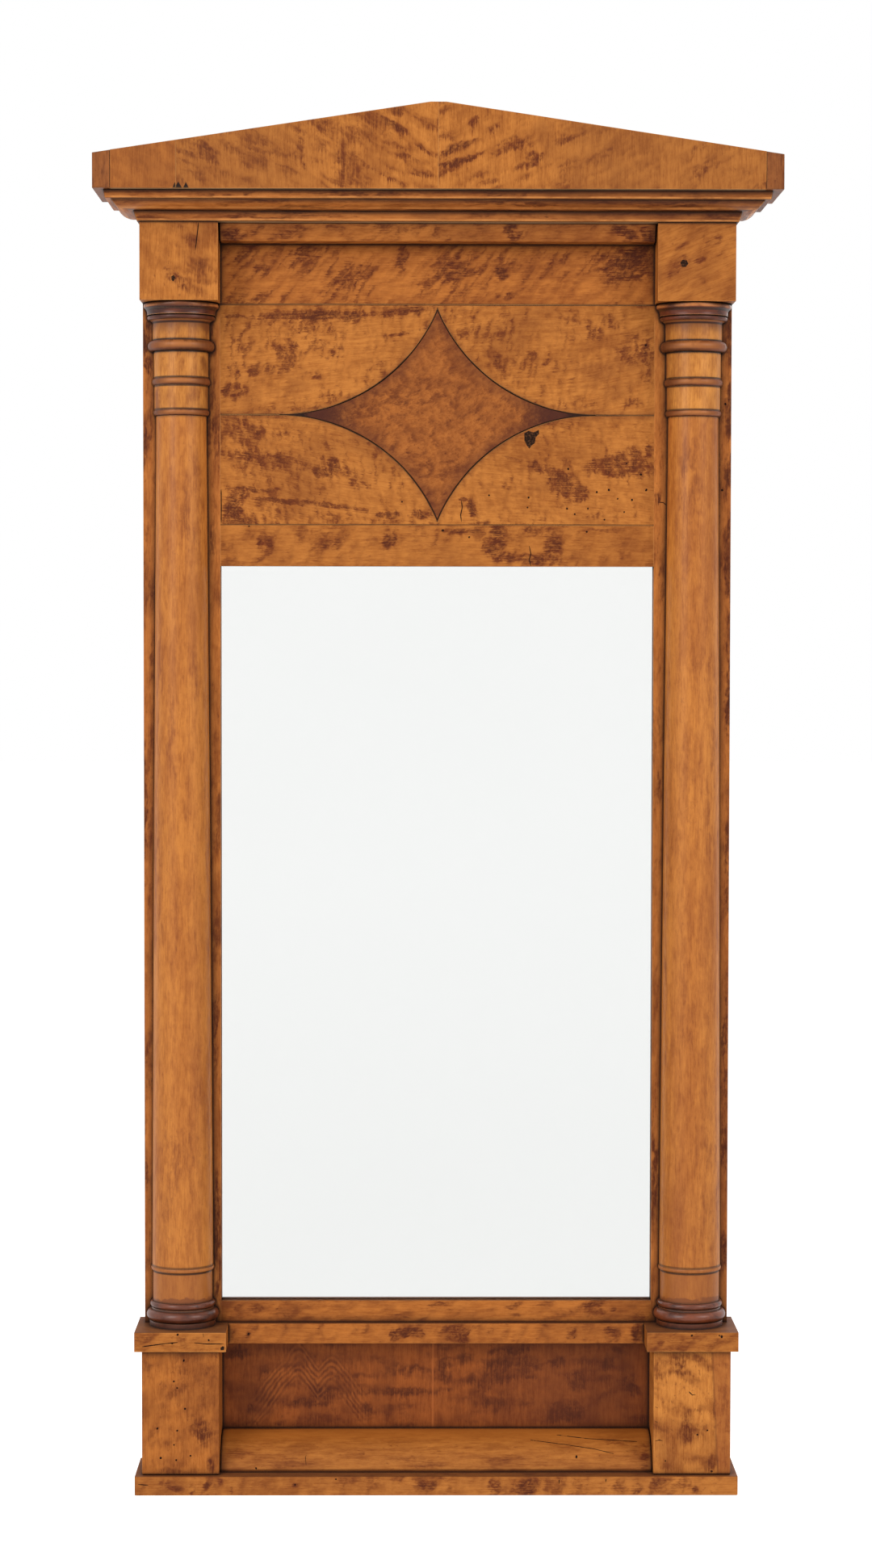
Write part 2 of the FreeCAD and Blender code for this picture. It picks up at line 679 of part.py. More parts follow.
def base_corners():
    lower_foot = base_top - dims.base_upper_height - dims.base_groove_height - dims.base_lower_height
    groove_foot = lower_foot + dims.base_lower_height
    upper_foot = groove_foot + dims.base_groove_height
    corners = [(bore, cap_top), (dims.base_foot_radius, cap_top), (dims.base_foot_radius, lower_foot)]
    corners += bead(dims.base_lower_radius, lower_foot, groove_foot)
    corners += [(dims.base_groove_radius, groove_foot), (dims.base_groove_radius, upper_foot)]
    corners += bead(dims.base_upper_radius, upper_foot, base_top)
    return corners + [(bore, base_top)]


def shaft_corners():
    ring_foot = base_top + dims.foot_drum_height
    shaft_foot = ring_foot + dims.foot_ring_height
    middle = shaft_foot + (neck_foot - shaft_foot) * SHAFT_MIDDLE_SHARE
    pin_foot = cap_top - dims.base_pin
    corners = [(ZERO, pin_foot), (pin, pin_foot), (pin, base_top)]
    corners += [(dims.foot_drum_radius, base_top), (dims.foot_drum_radius, ring_foot)]
    corners += ring(dims.shaft_foot_radius, ring_foot, shaft_foot)
    corners += [(dims.shaft_mid_radius, middle), (dims.shaft_top_radius, neck_foot)]
    return corners + [(pin, neck_foot), (pin, neck_foot + dims.shaft_pin), (ZERO, neck_foot + dims.shaft_pin)]


def neck_corners():
    levels = [neck_foot]
    for rise in neck_rises:
        levels.append(levels[-1] + rise)
    socket_top = neck_foot + dims.shaft_pin + slack
    pin_top = frieze_foot + dims.block_pin
    corners = [(ZERO, socket_top), (bore, socket_top), (bore, neck_foot), (dims.shaft_top_radius, neck_foot)]
    corners += ring(dims.neck_low_radius, levels[0], levels[1])
    corners += [(dims.neck_low_radius, levels[2])]
    corners += ring(dims.neck_mid_radius, levels[2], levels[3])
    corners += [(dims.neck_mid_radius, levels[4])]
    corners += bead(dims.ring_top_radius, levels[4], levels[5])
    corners += [(dims.neck_top_radius, levels[5]), (dims.neck_top_radius, levels[6])]
    corners += [(dims.flare_radius, levels[7], dims.flare_height, 1)]
    return corners + [(pin, capital_foot), (pin, pin_top), (ZERO, pin_top)]


def capital_corners():
    scotia_foot = capital_foot + dims.astragal_height
    abacus_foot = scotia_foot + dims.scotia_height
    corners = [(bore, capital_foot)]
    corners += bead(dims.astragal_radius, capital_foot, scotia_foot)
    corners += [(dims.scotia_low_radius, scotia_foot)]
    corners += [(dims.scotia_top_radius, abacus_foot, dims.scotia_hollow, 1)]
    corners += ring(dims.abacus_radius, abacus_foot, frieze_foot)
    return corners + [(bore, frieze_foot)]


COLUMN_PIECES = (
    ("column_base", base_corners()),
    ("column_shaft", shaft_corners()),
    ("column_neck", neck_corners()),
    ("column_capital", capital_corners()),
)
half_stile = dims.stile_width / 2
for side_name, side in SIDES:
    for piece_name, corners in COLUMN_PIECES:
        name = f"{piece_name}_{side_name}"
        body = place(turned(name + "_turned", corners), column_x * side, column_y)
        flat = box(name + "_flat", span(side, column_x - half_stile, column_x + half_stile),
                   (stile_face, stile_face + half_stile), (cap_foot, cornice_foot))
        subpart(name, cut(name, body, [flat]))
    name = "corner_block_" + side_name
    blank = box(name + "_blank", span(side, half_opening, half_body), (block_face, stile_face),
                (frieze_foot, cornice_foot))
    socket = cylinder(name + "_socket", bore, dims.block_pin + slack + dims.overrun, column_x * side,
                      column_y, frieze_foot - dims.overrun, Vector(0, 0, 1), 0)
    subpart(name, cut(name, blank, [socket]))

# Cornice: a pine core on the stiles, with three mouldings planted on its front and sides
core_blank = box("cornice_core_blank", (-half_body, half_body), (block_face, ZERO),
                 (cornice_foot, pediment_foot))
core_mortises = [
    box(f"cornice_mortise_{side_name}", stub_span(side, slack),
        (stub_y - stub_half - slack, stub_y + stub_half + slack),
        (cornice_foot - dims.overrun, cornice_foot + dims.stub_length + slack))
    for side_name, side in SIDES
]
subpart("cornice_core", cut("cornice_core", core_blank, core_mortises))

reach = dims.pediment_overhang
mitre_height = apex
mitre_front = prism("mitre_front", "XY_Plane", [
    (-half_body, block_face), (half_body, block_face),
    (half_body + reach, block_face - reach), (-half_body - reach, block_face - reach),
], mitre_height)
mitre_sides = {
    side: prism(f"mitre_{side_name}", "XY_Plane", [
        (half_body * side, ZERO), ((half_body + reach) * side, ZERO),
        ((half_body + reach) * side, block_face - reach), (half_body * side, block_face),
    ], mitre_height)
    for side_name, side in SIDES
}
MOULDINGS = (
    ("bed_fascia", cornice_foot, ovolo_foot, dims.fascia_low, dims.fascia_top, None),
    ("ovolo", ovolo_foot, crown_foot, dims.ovolo_low, dims.ovolo_top, dims.ovolo_radius),
    ("crown_fillet", crown_foot, pediment_foot, dims.crown_low, dims.crown_top, None),
)


def moulding_corners(start, outward, low, high, low_overhang, top_overhang, radius):
    """Section of a planted moulding; it grows from start in the outward direction."""
    top = (start + top_overhang * outward, high)
    if radius is not None:
        top += (radius, -outward)
    return [(start, low), (start + low_overhang * outward, low), top, (start, high)]


for name, *section in MOULDINGS:
    run = prism(name + "_front_run", "YZ_Plane", moulding_corners(block_face, LEFT, *section),
                half_pediment * 2, midplane=True)
    subpart(name + "_front", common(name + "_front", run, mitre_front))
    for side_name, side in SIDES:
        run = prism(f"{name}_{side_name}_run", "XZ_Plane",
                    moulding_corners(half_body * side, side, *section), reach - block_face)
        subpart(f"{name}_{side_name}", common(f"{name}_{side_name}", run, mitre_sides[side]))

# Pediment: a veneered front board between two side boards, with glue blocks behind
pediment_face = block_face - reach
board_half = half_pediment - dims.pediment_thickness
slope_run = half_pediment - dims.apex_flat / 2


def slope_z(x_out):
    """Height of the pediment's top edge at a distance from the middle."""
    return pediment_end + dims.pediment_rise * (half_pediment - x_out) / slope_run


veneer_back = pediment_face + dims.veneer_thickness
board = prism("pediment_board", "XZ_Plane", [
    (-board_half, pediment_foot), (board_half, pediment_foot), (board_half, slope_z(board_half)),
    (dims.apex_flat / 2, apex), (-dims.apex_flat / 2, apex), (-board_half, slope_z(board_half)),
], dims.pediment_thickness - dims.veneer_thickness)
subpart("pediment_board", place(board, y=pediment_face + dims.pediment_thickness))

leaf_edge = board_half - dims.end_leaf_width
VENEERS = (
    ("pediment_veneer_end", [
        (-board_half, pediment_foot), (-leaf_edge, pediment_foot),
        (-leaf_edge, slope_z(leaf_edge)), (-board_half, slope_z(board_half)),
    ]),
    ("pediment_veneer_left", [
        (-leaf_edge, pediment_foot), (ZERO, pediment_foot), (ZERO, apex),
        (-dims.apex_flat / 2, apex), (-leaf_edge, slope_z(leaf_edge)),
    ]),
    ("pediment_veneer_right", [
        (ZERO, pediment_foot), (board_half, pediment_foot), (board_half, slope_z(board_half)),
        (dims.apex_flat / 2, apex), (ZERO, apex),
    ]),
)
for veneer_name, corners in VENEERS:
    leaf = prism(veneer_name, "XZ_Plane", corners, dims.veneer_thickness)
    subpart(veneer_name, place(leaf, y=veneer_back))
for side_name, side in SIDES:
    name = "pediment_side_" + side_name
    flank = prism(name, "XZ_Plane", [
        (board_half * side, pediment_foot), (half_pediment * side, pediment_foot),
        (half_pediment * side, pediment_end), (board_half * side, slope_z(board_half)),
    ], -pediment_face)
    subpart(name, flank)
block_back = pediment_face + dims.pediment_thickness
glue_blocks = [
    box(f"glue_block_{index}", (board_half * share - dims.glue_block_length / 2,
                                board_half * share + dims.glue_block_length / 2),
        (block_back, block_back + dims.glue_block_side),
        (pediment_foot, pediment_foot + dims.glue_block_side))
    for index, share in enumerate(GLUE_BLOCK_SHARES)
]
subpart("glue_blocks", group("glue_blocks", glue_blocks))

# Mirror plate, its silvering and the slips that press it into the rebate
glass_margin = narrow - dims.glass_clearance
silver_margin = glass_margin - dims.silvering_margin
for name, margin, y_span in (("mirror_glass", glass_margin, (glass_face, glass_back)),
                             ("mirror_silvering", silver_margin, (glass_back, silver_back))):
    subpart(name, box(name, (-half_opening - margin, half_opening + margin), y_span,
                      (glass_foot - margin, glass_head + margin)))
slip_inner = glass_margin - dims.slip_width
slips = []
for side_name, side in SIDES:
    slips.append(box(f"slip_{side_name}", span(side, half_opening + slip_inner, half_opening + glass_margin),
                     (silver_back, board_face), (glass_foot - glass_margin, glass_head + glass_margin)))
for slip_name, low in (("slip_foot", glass_foot - glass_margin), ("slip_head", glass_head + slip_inner)):
    slips.append(box(slip_name, (-half_opening - slip_inner, half_opening + slip_inner),
                     (silver_back, board_face), (low, low + dims.slip_width)))
subpart("glass_slips", group("glass_slips", slips))

# Hangers: iron plates screwed to the frieze rail, each with a ring that swings in its knuckle
hinge_y = core_back + dims.plate_thickness + dims.wire_radius + dims.ring_standoff
hinge_z = frieze_foot + dims.hanger_height
plate_back = core_back + dims.plate_thickness
plate_foot = hinge_z + dims.plate_lift
knuckle_radius = hinge_y - core_back
x_axis = Vector(1, 0, 0)
y_axis = Vector(0, 1, 0)
screws = []
for side_name, side in SIDES:
    x = hanger_x * side
    name = "hanger_plate_" + side_name
    half_plate = dims.plate_width / 2
    half_knuckle = dims.knuckle_length / 2
    plate = box(name + "_plate", (x - half_plate, x + half_plate), (core_back, plate_back),
                (plate_foot, plate_foot + dims.plate_height))
    leaf = box(name + "_leaf", (x - half_knuckle, x + half_knuckle), (core_back, plate_back),
               (hinge_z, plate_foot + dims.overrun))
    knuckle = cylinder(name + "_knuckle", knuckle_radius, dims.knuckle_length, x - half_knuckle, hinge_y,
                       hinge_z, y_axis, QUARTER_TURN)
    tools = [cylinder(name + "_bore", dims.wire_radius + dims.ring_clearance,
                      dims.knuckle_length + dims.overrun * 2, x - half_knuckle - dims.overrun, hinge_y,
                      hinge_z, y_axis, QUARTER_TURN)]
    for hand in (LEFT, RIGHT):
        screw_x = x + dims.screw_spacing / 2 * hand
        shank = bar_back(f"{name}_shank_{hand}", dims.screw_radius, dims.screw_length, screw_x, plate_back,
                         screw_z)
        head = doc.addObject("Part::Cone", f"{name}_head_{hand}")
        bind(head, Radius1=dims.screw_head_radius, Radius2=dims.screw_head_radius * SCREW_CROWN_SHARE,
             Height=dims.screw_head_height)
        head.Placement = FreeCAD.Placement(Vector(), FreeCAD.Rotation(x_axis, -QUARTER_TURN))
        place(head, screw_x, plate_back, screw_z)
        screws.append(join(f"{name}_screw_{hand}", [shank, head]))
        tools.append(shank)
    subpart(name, cut(name, join(name + "_whole", [plate, leaf, knuckle]), tools))

    name = "hanger_ring_" + side_name
    bar = cylinder(name + "_bar", dims.wire_radius, dims.ring_radius * 2, x - dims.ring_radius, hinge_y,
                   hinge_z, y_axis, QUARTER_TURN)
    bow = doc.addObject("Part::Torus", name + "_bow")
    bind(bow, Radius1=dims.ring_radius, Radius2=dims.wire_radius)
    bow.Angle3 = HALF_TURN
    bow.Placement = FreeCAD.Placement(Vector(), FreeCAD.Rotation(x_axis, -QUARTER_TURN))
    place(bow, x, hinge_y, hinge_z)
    corners = []
    for hand in (LEFT, RIGHT):
        ball = doc.addObject("Part::Sphere", f"{name}_corner_{hand}")
        bind(ball, Radius=dims.wire_radius)
        corners.append(place(ball, x + dims.ring_radius * hand, hinge_y, hinge_z))
    subpart(name, join(name, [bar, bow] + corners))
subpart("hanger_screws", group("hanger_screws", screws))

# Build, check and write
doc.recompute()
failed = [item.Label for item in doc.Objects if "Invalid" in item.State or "Error" in item.State]
if failed:
    raise RuntimeError("these objects did not build: " + ", ".join(failed))
for item in SUBPARTS:
    if item.Shape.isNull() or not item.Shape.isValid() or not item.Shape.Solids:
        raise RuntimeError(item.Label + " has no valid solid")
for item in SUBPARTS:
    item.Shape.exportStep(f"parts/{item.Label}.step")
    print(f"{item.Label}: {len(item.Shape.Solids)} solid(s), {item.Shape.Volume / 1000:.2f} cm3")
print(len(SUBPARTS), "sub-parts")
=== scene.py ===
"""Looks of the wall mirror: flame birch, turned columns, mirror plate, raw pine back and iron hangers."""
import math
import random

import bmesh
import bpy
from mathutils import Matrix, Vector


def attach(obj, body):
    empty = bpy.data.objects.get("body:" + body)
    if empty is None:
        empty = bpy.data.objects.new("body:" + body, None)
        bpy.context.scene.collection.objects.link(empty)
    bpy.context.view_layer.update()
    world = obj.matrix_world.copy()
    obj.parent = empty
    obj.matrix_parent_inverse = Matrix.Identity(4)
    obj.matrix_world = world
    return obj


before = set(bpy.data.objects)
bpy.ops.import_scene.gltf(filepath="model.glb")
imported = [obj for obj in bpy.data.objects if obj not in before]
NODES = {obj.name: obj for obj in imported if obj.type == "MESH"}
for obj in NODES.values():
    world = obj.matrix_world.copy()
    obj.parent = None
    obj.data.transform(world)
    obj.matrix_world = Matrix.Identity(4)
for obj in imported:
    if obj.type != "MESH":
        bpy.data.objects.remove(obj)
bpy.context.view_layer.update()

scene = bpy.context.scene
scene.view_settings.view_transform = "Standard"
MM = 0.001


def ends(name, axis=2):
    """Lowest and highest place of a CAD node along an axis, in metres."""
    places = [corner[axis] for corner in NODES[name].bound_box]
    return min(places), max(places)


# Joints of the frame that the wood's seams, stains, worn places and painted shade and highlights follow
RAIL_TOP, LEAF_JOINT = ends("panel_leaf_lower")
PANEL_TOP = ends("panel_leaf_upper")[1]
BASE_TOP = ends("column_base_left")[1]
NECK_FOOT = ends("column_neck_left")[0]
CAPITAL_FOOT, CAPITAL_TOP = ends("column_capital_left")
MOULDING_FOOT, MOULDING_TOP = ends("base_moulding")
CORNICE = [ends(name) for name in ("bed_fascia_front", "ovolo_front", "crown_fillet_front")]
VENEER_FOOT = ends("pediment_veneer_left")[0]
VENEER_JOINT = ends("pediment_veneer_left", 0)[0]
SILVER_FACE = ends("mirror_silvering", 1)[0]

# The camera that fits the photograph: pixels of a frame 1942 high, metres and degrees
PHOTO_HEIGHT = 1942
FOCAL = 4350
SHIFT_X, SHIFT_Y = -1.0, 1.4
SENSOR = 36.0
EYE = (-0.028, -3.227, 0.782)
YAW, PITCH, ROLL = -0.5, -2.5, 0.08


def make_camera():
    data = bpy.data.cameras.new("camera")
    data.sensor_fit = "VERTICAL"
    data.sensor_height = SENSOR
    data.lens = SENSOR * FOCAL / PHOTO_HEIGHT
    data.shift_x = SHIFT_X / PHOTO_HEIGHT
    data.shift_y = SHIFT_Y / PHOTO_HEIGHT
    cam = bpy.data.objects.new("camera", data)
    scene.collection.objects.link(cam)
    cam.location = EYE
    turn = Matrix()
    for degrees, axis in ((YAW, "Z"), (90 + PITCH, "X"), (ROLL, "Z")):
        turn = turn @ Matrix.Rotation(math.radians(degrees), 4, axis)
    cam.rotation_euler = turn.to_euler()
    scene.camera = cam


make_camera()


def linear(red, green, blue):
    """An sRGB colour, 0 to 255, as linear values with alpha."""
    values = []
    for value in (red, green, blue):
        value /= 255
        values.append(value / 12.92 if value <= 0.04045 else ((value + 0.055) / 1.055) ** 2.4)
    return (*values, 1)


def grey(value):
    return (value, value, value, 1)


def shades(light, deep, flame):
    """The three colours of one stained wood."""
    return {"light": linear(*light), "deep": linear(*deep), "flame": linear(*flame)}


HONEY = shades((181, 112, 48), (145, 82, 32), (100, 44, 16))
GOLD = shades((187, 117, 51), (152, 88, 35), (102, 46, 17))
DEEP = shades((184, 111, 47), (146, 81, 32), (94, 40, 14))
NECK = shades((204, 134, 60), (172, 106, 44), (112, 50, 20))
SHAFT = shades((195, 122, 52), (166, 96, 39), (118, 58, 26))
TURNED = shades((108, 51, 27), (66, 29, 17), (48, 21, 14))
BASE_LEFT = shades((112, 56, 31), (70, 32, 19), (48, 21, 14))
BASE_RIGHT = shades((128, 65, 36), (86, 41, 24), (54, 25, 16))
CREAM = shades((199, 127, 57), (154, 89, 37), (98, 43, 16))
AMBER = shades((180, 107, 44), (137, 75, 30), (94, 41, 14))
RUST = shades((144, 85, 42), (112, 62, 32), (82, 40, 23))
STILE = shades((198, 121, 55), (156, 88, 38), (100, 46, 19))
MOULD = shades((190, 115, 53), (142, 78, 33), (84, 37, 15))
PANEL = shades((152, 81, 32), (116, 57, 23), (84, 37, 15))
STAR = shades((166, 97, 42), (123, 65, 27), (94, 43, 18))

# Stains, grime, dust, bare wood, and painted shade and highlights
NEAR_BLACK = linear(34, 16, 9)
GRIME_AND_SHADE = linear(52, 27, 12)
HEART = linear(64, 26, 10)
SHADE = linear(84, 40, 24)
DUST_AND_SHADE = linear(98, 58, 34)
OLD_RAW = linear(112, 82, 54)
RAW = linear(150, 118, 84)
CREST_HIGHLIGHT = linear(158, 94, 47)
RUBBED_AND_LIT = linear(182, 112, 58)
WORN = linear(212, 146, 80)
FLECK = (0.66, 0.54, 0.42, 1)

# Dark flames and clouds, in millimetres: x, z, half width, half height, strength, and for those that
# lean their rise in degrees
BLOTS = {
    "panel_leaf_upper": [
        (-107, 1068, 60, 4, 0.9, 1), (-28, 1073, 19, 2.9, 0.6, 4), (-183, 1068, 19, 1.5, 0.8),
        (-28, 1054, 17.6, 2.2, 0.6, 12), (-185, 1020, 5.9, 8.7, 0.85), (-168, 1019, 6.6, 6.6, 0.7),
        (-138, 1030, 5.1, 13.1, 0.75, 25), (-130, 1036, 5.1, 8, 0.5), (-185, 1000, 10.2, 6.6, 0.7),
        (-147, 1020, 13.2, 5.1, 0.6), (-110, 1014, 4.4, 3.6, 0.6, -30), (-91, 1036, 5.9, 5.8, 0.35),
        (129, 1056, 23.4, 8.7, 0.5, -8), (143, 1053, 8.1, 6.6, 0.9), (179, 1035, 19.1, 14.6, 0.55, -20),
        (190, 1030, 8.1, 10.2, 0.9), (116, 1021, 19.8, 6.6, 0.3), (55, 1027, 3.7, 7.3, 0.8),
        (19, 1047, 2.9, 7.3, 0.5), (174, 991, 7.3, 3.7, 0.5), (-177, 1041, 10.2, 7.3, 0.4),
        (159, 1063, 11.7, 7.3, 0.5, -10)],
    "panel_leaf_lower": [
        (-155, 937, 40.3, 6.6, 0.6, -10), (-106, 926, 7.3, 4.4, 0.9), (-172, 942, 6.6, 2.9, 0.8),
        (-153, 937, 5.9, 5.8, 0.8), (-94, 935, 5.1, 5.8, 0.7), (-69, 917, 10.3, 5.9, 0.5, -10),
        (-169, 911, 24.9, 1.8, 0.75), (-115, 898, 51.3, 2.6, 0.9, -6), (-47, 890, 12.5, 2.9, 0.9, -3),
        (-13, 888, 10.3, 4.4, 0.95), (-186, 895, 7.3, 15.4, 1), (-177, 906, 7.3, 4.4, 0.8, -20),
        (-180, 881, 11.7, 4.4, 0.7), (174, 934, 25, 12.4, 1, 3), (115, 916, 19.1, 10.2, 1, -35),
        (128, 907, 9.5, 6.6, 0.9), (144, 932, 11.7, 5.9, 0.6, 20), (184, 912, 3.7, 5.1, 0.5),
        (89, 932, 8.8, 5.9, 0.7, -30), (69, 940, 14.7, 1.5, 0.8, -18), (32, 895, 6.6, 6.6, 0.9),
        (24, 901, 4.4, 2.2, 0.8), (42, 882, 4.4, 1.5, 0.7), (146, 886, 11.8, 3.7, 0.4),
        (192, 945, 5.9, 5.9, 0.8), (-177, 963, 18.3, 10.2, 0.35), (-45, 945, 14.7, 7.3, 0.2)],
    "head_rail": [
        (-156, 860, 8.8, 8.8, 0.7), (-147, 869, 8.8, 5.1, 0.5, 30), (-156, 851, 8.1, 2.9, 0.6, 30),
        (-94, 862, 10.3, 5.9, 0.6), (-45, 865, 3.7, 8.1, 0.85, -10), (-39, 865, 2.2, 6.6, 0.7),
        (23, 874, 14.7, 2.6, 0.7), (52, 863, 9.5, 16.1, 1, -10), (59, 850, 11, 5.9, 0.9),
        (106, 858, 8.8, 14.7, 1, 8), (84, 848, 16.2, 5.1, 0.75), (84, 874, 3.7, 2.9, 0.7),
        (146, 874, 8.8, 1.5, 0.6), (-111, 868, 22, 8.8, 0.25), (-15, 863, 13.2, 5.9, 0.3),
        (91, 870, 7.3, 5.9, 0.4)],
    "frieze_strip": [
        (-184, 1138, 10.9, 5.8, 0.8), (-162, 1141, 5.8, 3.6, 0.5, 30), (69, 1141, 9.4, 7.2, 1, -35),
        (169, 1140, 14.5, 4.3, 0.8, -25), (189, 1139, 6.5, 5.8, 0.9), (-128, 1141, 15.9, 2.9, 0.35, 15),
        (13, 1137, 21.7, 2.2, 0.3)],
    "frieze_board": [
        (-82, 1098, 24.9, 10.9, 0.6, 35), (-32, 1120, 5.1, 10.2, 0.8), (15, 1112, 14.6, 10.2, 0.7, 35),
        (25, 1108, 14.6, 3.6, 0.6, 5), (57, 1107, 4.4, 6.6, 0.9), (63, 1087, 10.3, 2.9, 0.7),
        (171, 1113, 24.9, 14.6, 0.8, 25), (189, 1116, 8.8, 16, 0.6), (-125, 1122, 16.1, 6.5, 0.6, 35),
        (-177, 1125, 16.1, 5.1, 0.5, 35), (-161, 1112, 6.6, 10.2, 0.5, 30), (-67, 1089, 14.6, 4.4, 0.5, 30),
        (109, 1120, 16.1, 5.1, 0.4, 30)],
    "pediment_veneer_left": [
        (-203, 1203, 13.5, 6.4, 0.6, -32), (-212, 1184, 8.5, 4.2, 0.5, -30),
        (-38, 1228, 15.7, 3.2, 0.85, -32), (-48, 1186, 18.5, 2.8, 0.85, -27), (-18, 1186, 10, 2.5, 0.6, -20),
        (-25, 1198, 10, 2.1, 0.5, -22), (-13, 1206, 8.5, 2.1, 0.5, -30), (17, 1210, 17.1, 3.5, 0.95, 22),
        (17, 1197, 18.5, 2.8, 0.85, 18), (31, 1233, 6.4, 5.7, 0.9, 30), (64, 1209, 14.3, 3.5, 0.95, 22),
        (61, 1215, 10, 3.5, 0.7, 15), (87, 1201, 8.6, 5, 0.95), (77, 1193, 11.4, 2.8, 0.6, 10),
        (55, 1182, 14.3, 2.8, 0.6, 15), (51, 1226, 5.7, 4.2, 0.6, 20), (-119, 1191, 2.8, 4.2, 0.85),
        (-244, 1192, 14.2, 7.1, 0.35, -20), (241, 1188, 17.8, 5, 0.35, 15), (-105, 1203, 7.1, 21.2, 0.3, 4),
        (-122, 1210, 3.6, 19.8, 0.35), (-85, 1196, 2.8, 15.6, 0.35), (112, 1214, 12.8, 5.7, 0.3, 10)],
    "corner_block_left": [
        (-237, 1098, 9.4, 4.3, 0.8, -25), (-242, 1103, 4.3, 3.6, 0.7, -40), (-231, 1092, 6.5, 2.9, 0.7, -45),
        (-238, 1141, 11.5, 3.6, 0.5, 20), (-224, 1131, 10.1, 5, 0.4), (-243, 1122, 11.5, 5.7, 0.25, 30),
        (-211, 1108, 5.8, 7.2, 0.2)],
    "corner_block_right": [
        (220, 1111, 8, 5.7, 0.9, 25), (210, 1102, 7.2, 2.9, 0.9, 30), (231, 1114, 8.7, 2.2, 0.8, 15),
        (215, 1128, 8.7, 5.7, 0.6, -40), (248, 1132, 15.9, 7.9, 0.6, -25), (219, 1085, 14.5, 2.9, 0.35),
        (233, 1098, 8.7, 3.6, 0.35, -30), (254, 1122, 8.7, 5.7, 0.4, -35)],
    "lower_rail": [
        (-165, 161, 5.9, 4.5, 0.6, 30), (-144, 161, 3.7, 3.7, 0.6), (-181, 161, 3.7, 3.7, 0.4),
        (2, 166, 10.4, 1.9, 0.7), (-32, 153, 7.4, 1.1, 0.6), (-84, 154, 5.9, 1.5, 0.4),
        (71, 164, 6.7, 3, 0.7, 20), (145, 161, 13.4, 6, 0.45), (163, 161, 3, 2.2, 1),
        (186, 152, 11.1, 4.5, 0.6), (74, 157, 14.8, 2.2, 0.3), (11, 161, 10.4, 2.2, 0.3),
        (119, 160, 7.4, 2.2, 0.3)],
    "base_strip": [
        (-37, 140, 6.7, 6.7, 1), (-21, 141, 9.6, 4.5, 1), (-15, 139, 5.2, 3.7, 0.9), (19, 140, 13.3, 6.7, 1),
        (25, 134, 6.7, 4.5, 0.9), (-185, 137, 5.9, 6, 0.6), (-172, 139, 3, 3, 0.8),
        (-161, 144, 7.4, 2.2, 0.4), (124, 139, 6.7, 6, 0.7), (156, 142, 8.1, 3, 0.8),
        (131, 140, 3, 2.2, 0.5), (186, 142, 5.9, 6.7, 0.6)],
    "stile_right": [
        (266, 1046, 4, 22, 0.9), (267, 985, 5, 30, 0.9), (266, 930, 4, 16, 0.8), (266, 850, 4, 40, 0.8),
        (267, 720, 4, 50, 0.8), (267, 560, 4, 40, 0.8), (266, 420, 4, 50, 0.8), (266, 300, 4, 30, 0.8),
        (264, 214, 5, 14, 1), (200, 1010, 3, 16, 0.6), (200, 905, 5, 8, 0.9), (199, 640, 4, 40, 0.5),
        (199, 260, 4, 60, 0.6)],
    "stile_left": [
        (-264, 1050, 4, 20, 0.9), (-262, 1024, 4, 10, 0.8), (-208, 1058, 6, 8, 0.8), (-206, 1040, 6, 8, 0.6),
        (-268, 950, 3, 30, 0.5), (-204, 960, 5, 16, 0.5), (-203, 870, 3, 40, 0.5), (-200, 240, 4, 50, 0.7),
        (-203, 420, 3, 40, 0.5), (-268, 300, 3, 50, 0.5), (-268, 620, 3, 60, 0.4)],
    "base_panel": [
        (-115, 71, 16.4, 3.8, 0.9), (-105, 80, 10.4, 5.3, 0.6), (-157, 98, 5.2, 9.8, 0.8, -20),
        (-173, 64, 2.2, 4.5, 0.9), (-182, 116, 11.9, 9, 0.7), (-26, 82, 44.7, 3.8, 0.7, 2),
        (-29, 101, 26.1, 5.3, 0.5), (9, 104, 8.9, 10.5, 0.7), (-63, 67, 5.2, 4.5, 0.6),
        (-178, 53, 14.9, 3.8, 0.6), (-146, 55, 7.5, 4.5, 0.5), (71, 107, 26.8, 15, 0.75),
        (86, 100, 14.9, 7.5, 0.7), (112, 108, 7.5, 9, 0.8), (129, 90, 9, 10.5, 0.7, 20),
        (179, 89, 9, 12, 0.95), (157, 108, 6.7, 7.5, 0.6), (120, 62, 18.7, 9, 0.7),
        (27, 113, 7.5, 10.5, 0.5), (75, 72, 29.8, 9, 0.5), (183, 57, 10.5, 9, 0.6)],
    "base_moulding": [
        (-70, 33, 3.7, 2.2, 0.6), (136, 51, 3, 2.2, 0.8), (163, 44, 18.5, 4.5, 0.4),
        (190, 26, 3.7, 10.5, 0.7), (-144, 15, 44.4, 1.5, 0.5), (119, 13, 59.2, 1.5, 0.5)],
    "plinth_board": [
        (-222, 7, 3.7, 5.2, 0.9), (-241, 9, 11.7, 3.7, 0.55, -20), (-207, 9, 2.9, 3.7, 0.6),
        (-186, 6, 1.5, 5.2, 0.7), (-196, 12, 2.2, 4.4, 0.5), (-128, 10, 2.9, 2.2, 0.9),
        (-7, 8, 10.2, 4.4, 0.5), (51, 8, 8.1, 6.6, 0.85), (81, 8, 10.2, 6.6, 0.85), (7, 15, 4.4, 1.5, 0.6),
        (183, 6, 4.4, 3.7, 0.4), (236, 5, 2.9, 3, 0.5), (200, 12, 7.3, 3, 0.4), (-263, 10, 5.8, 3, 0.5)],
    "pedestal_left": [
        (-207, 120, 8.8, 5.9, 0.4), (-209, 97, 4.4, 7.4, 0.4), (-215, 59, 7.3, 12.6, 0.7, 15),
        (-213, 54, 5.9, 6.6, 0.8), (-220, 68, 5.9, 5.9, 0.5), (-206, 26, 5.1, 7.4, 0.7),
        (-222, 24, 4.4, 5.2, 0.6), (-256, 118, 8.8, 5.9, 0.3), (-231, 21, 29.3, 2.2, 0.5),
        (-238, 114, 14.6, 4.4, 0.25)],
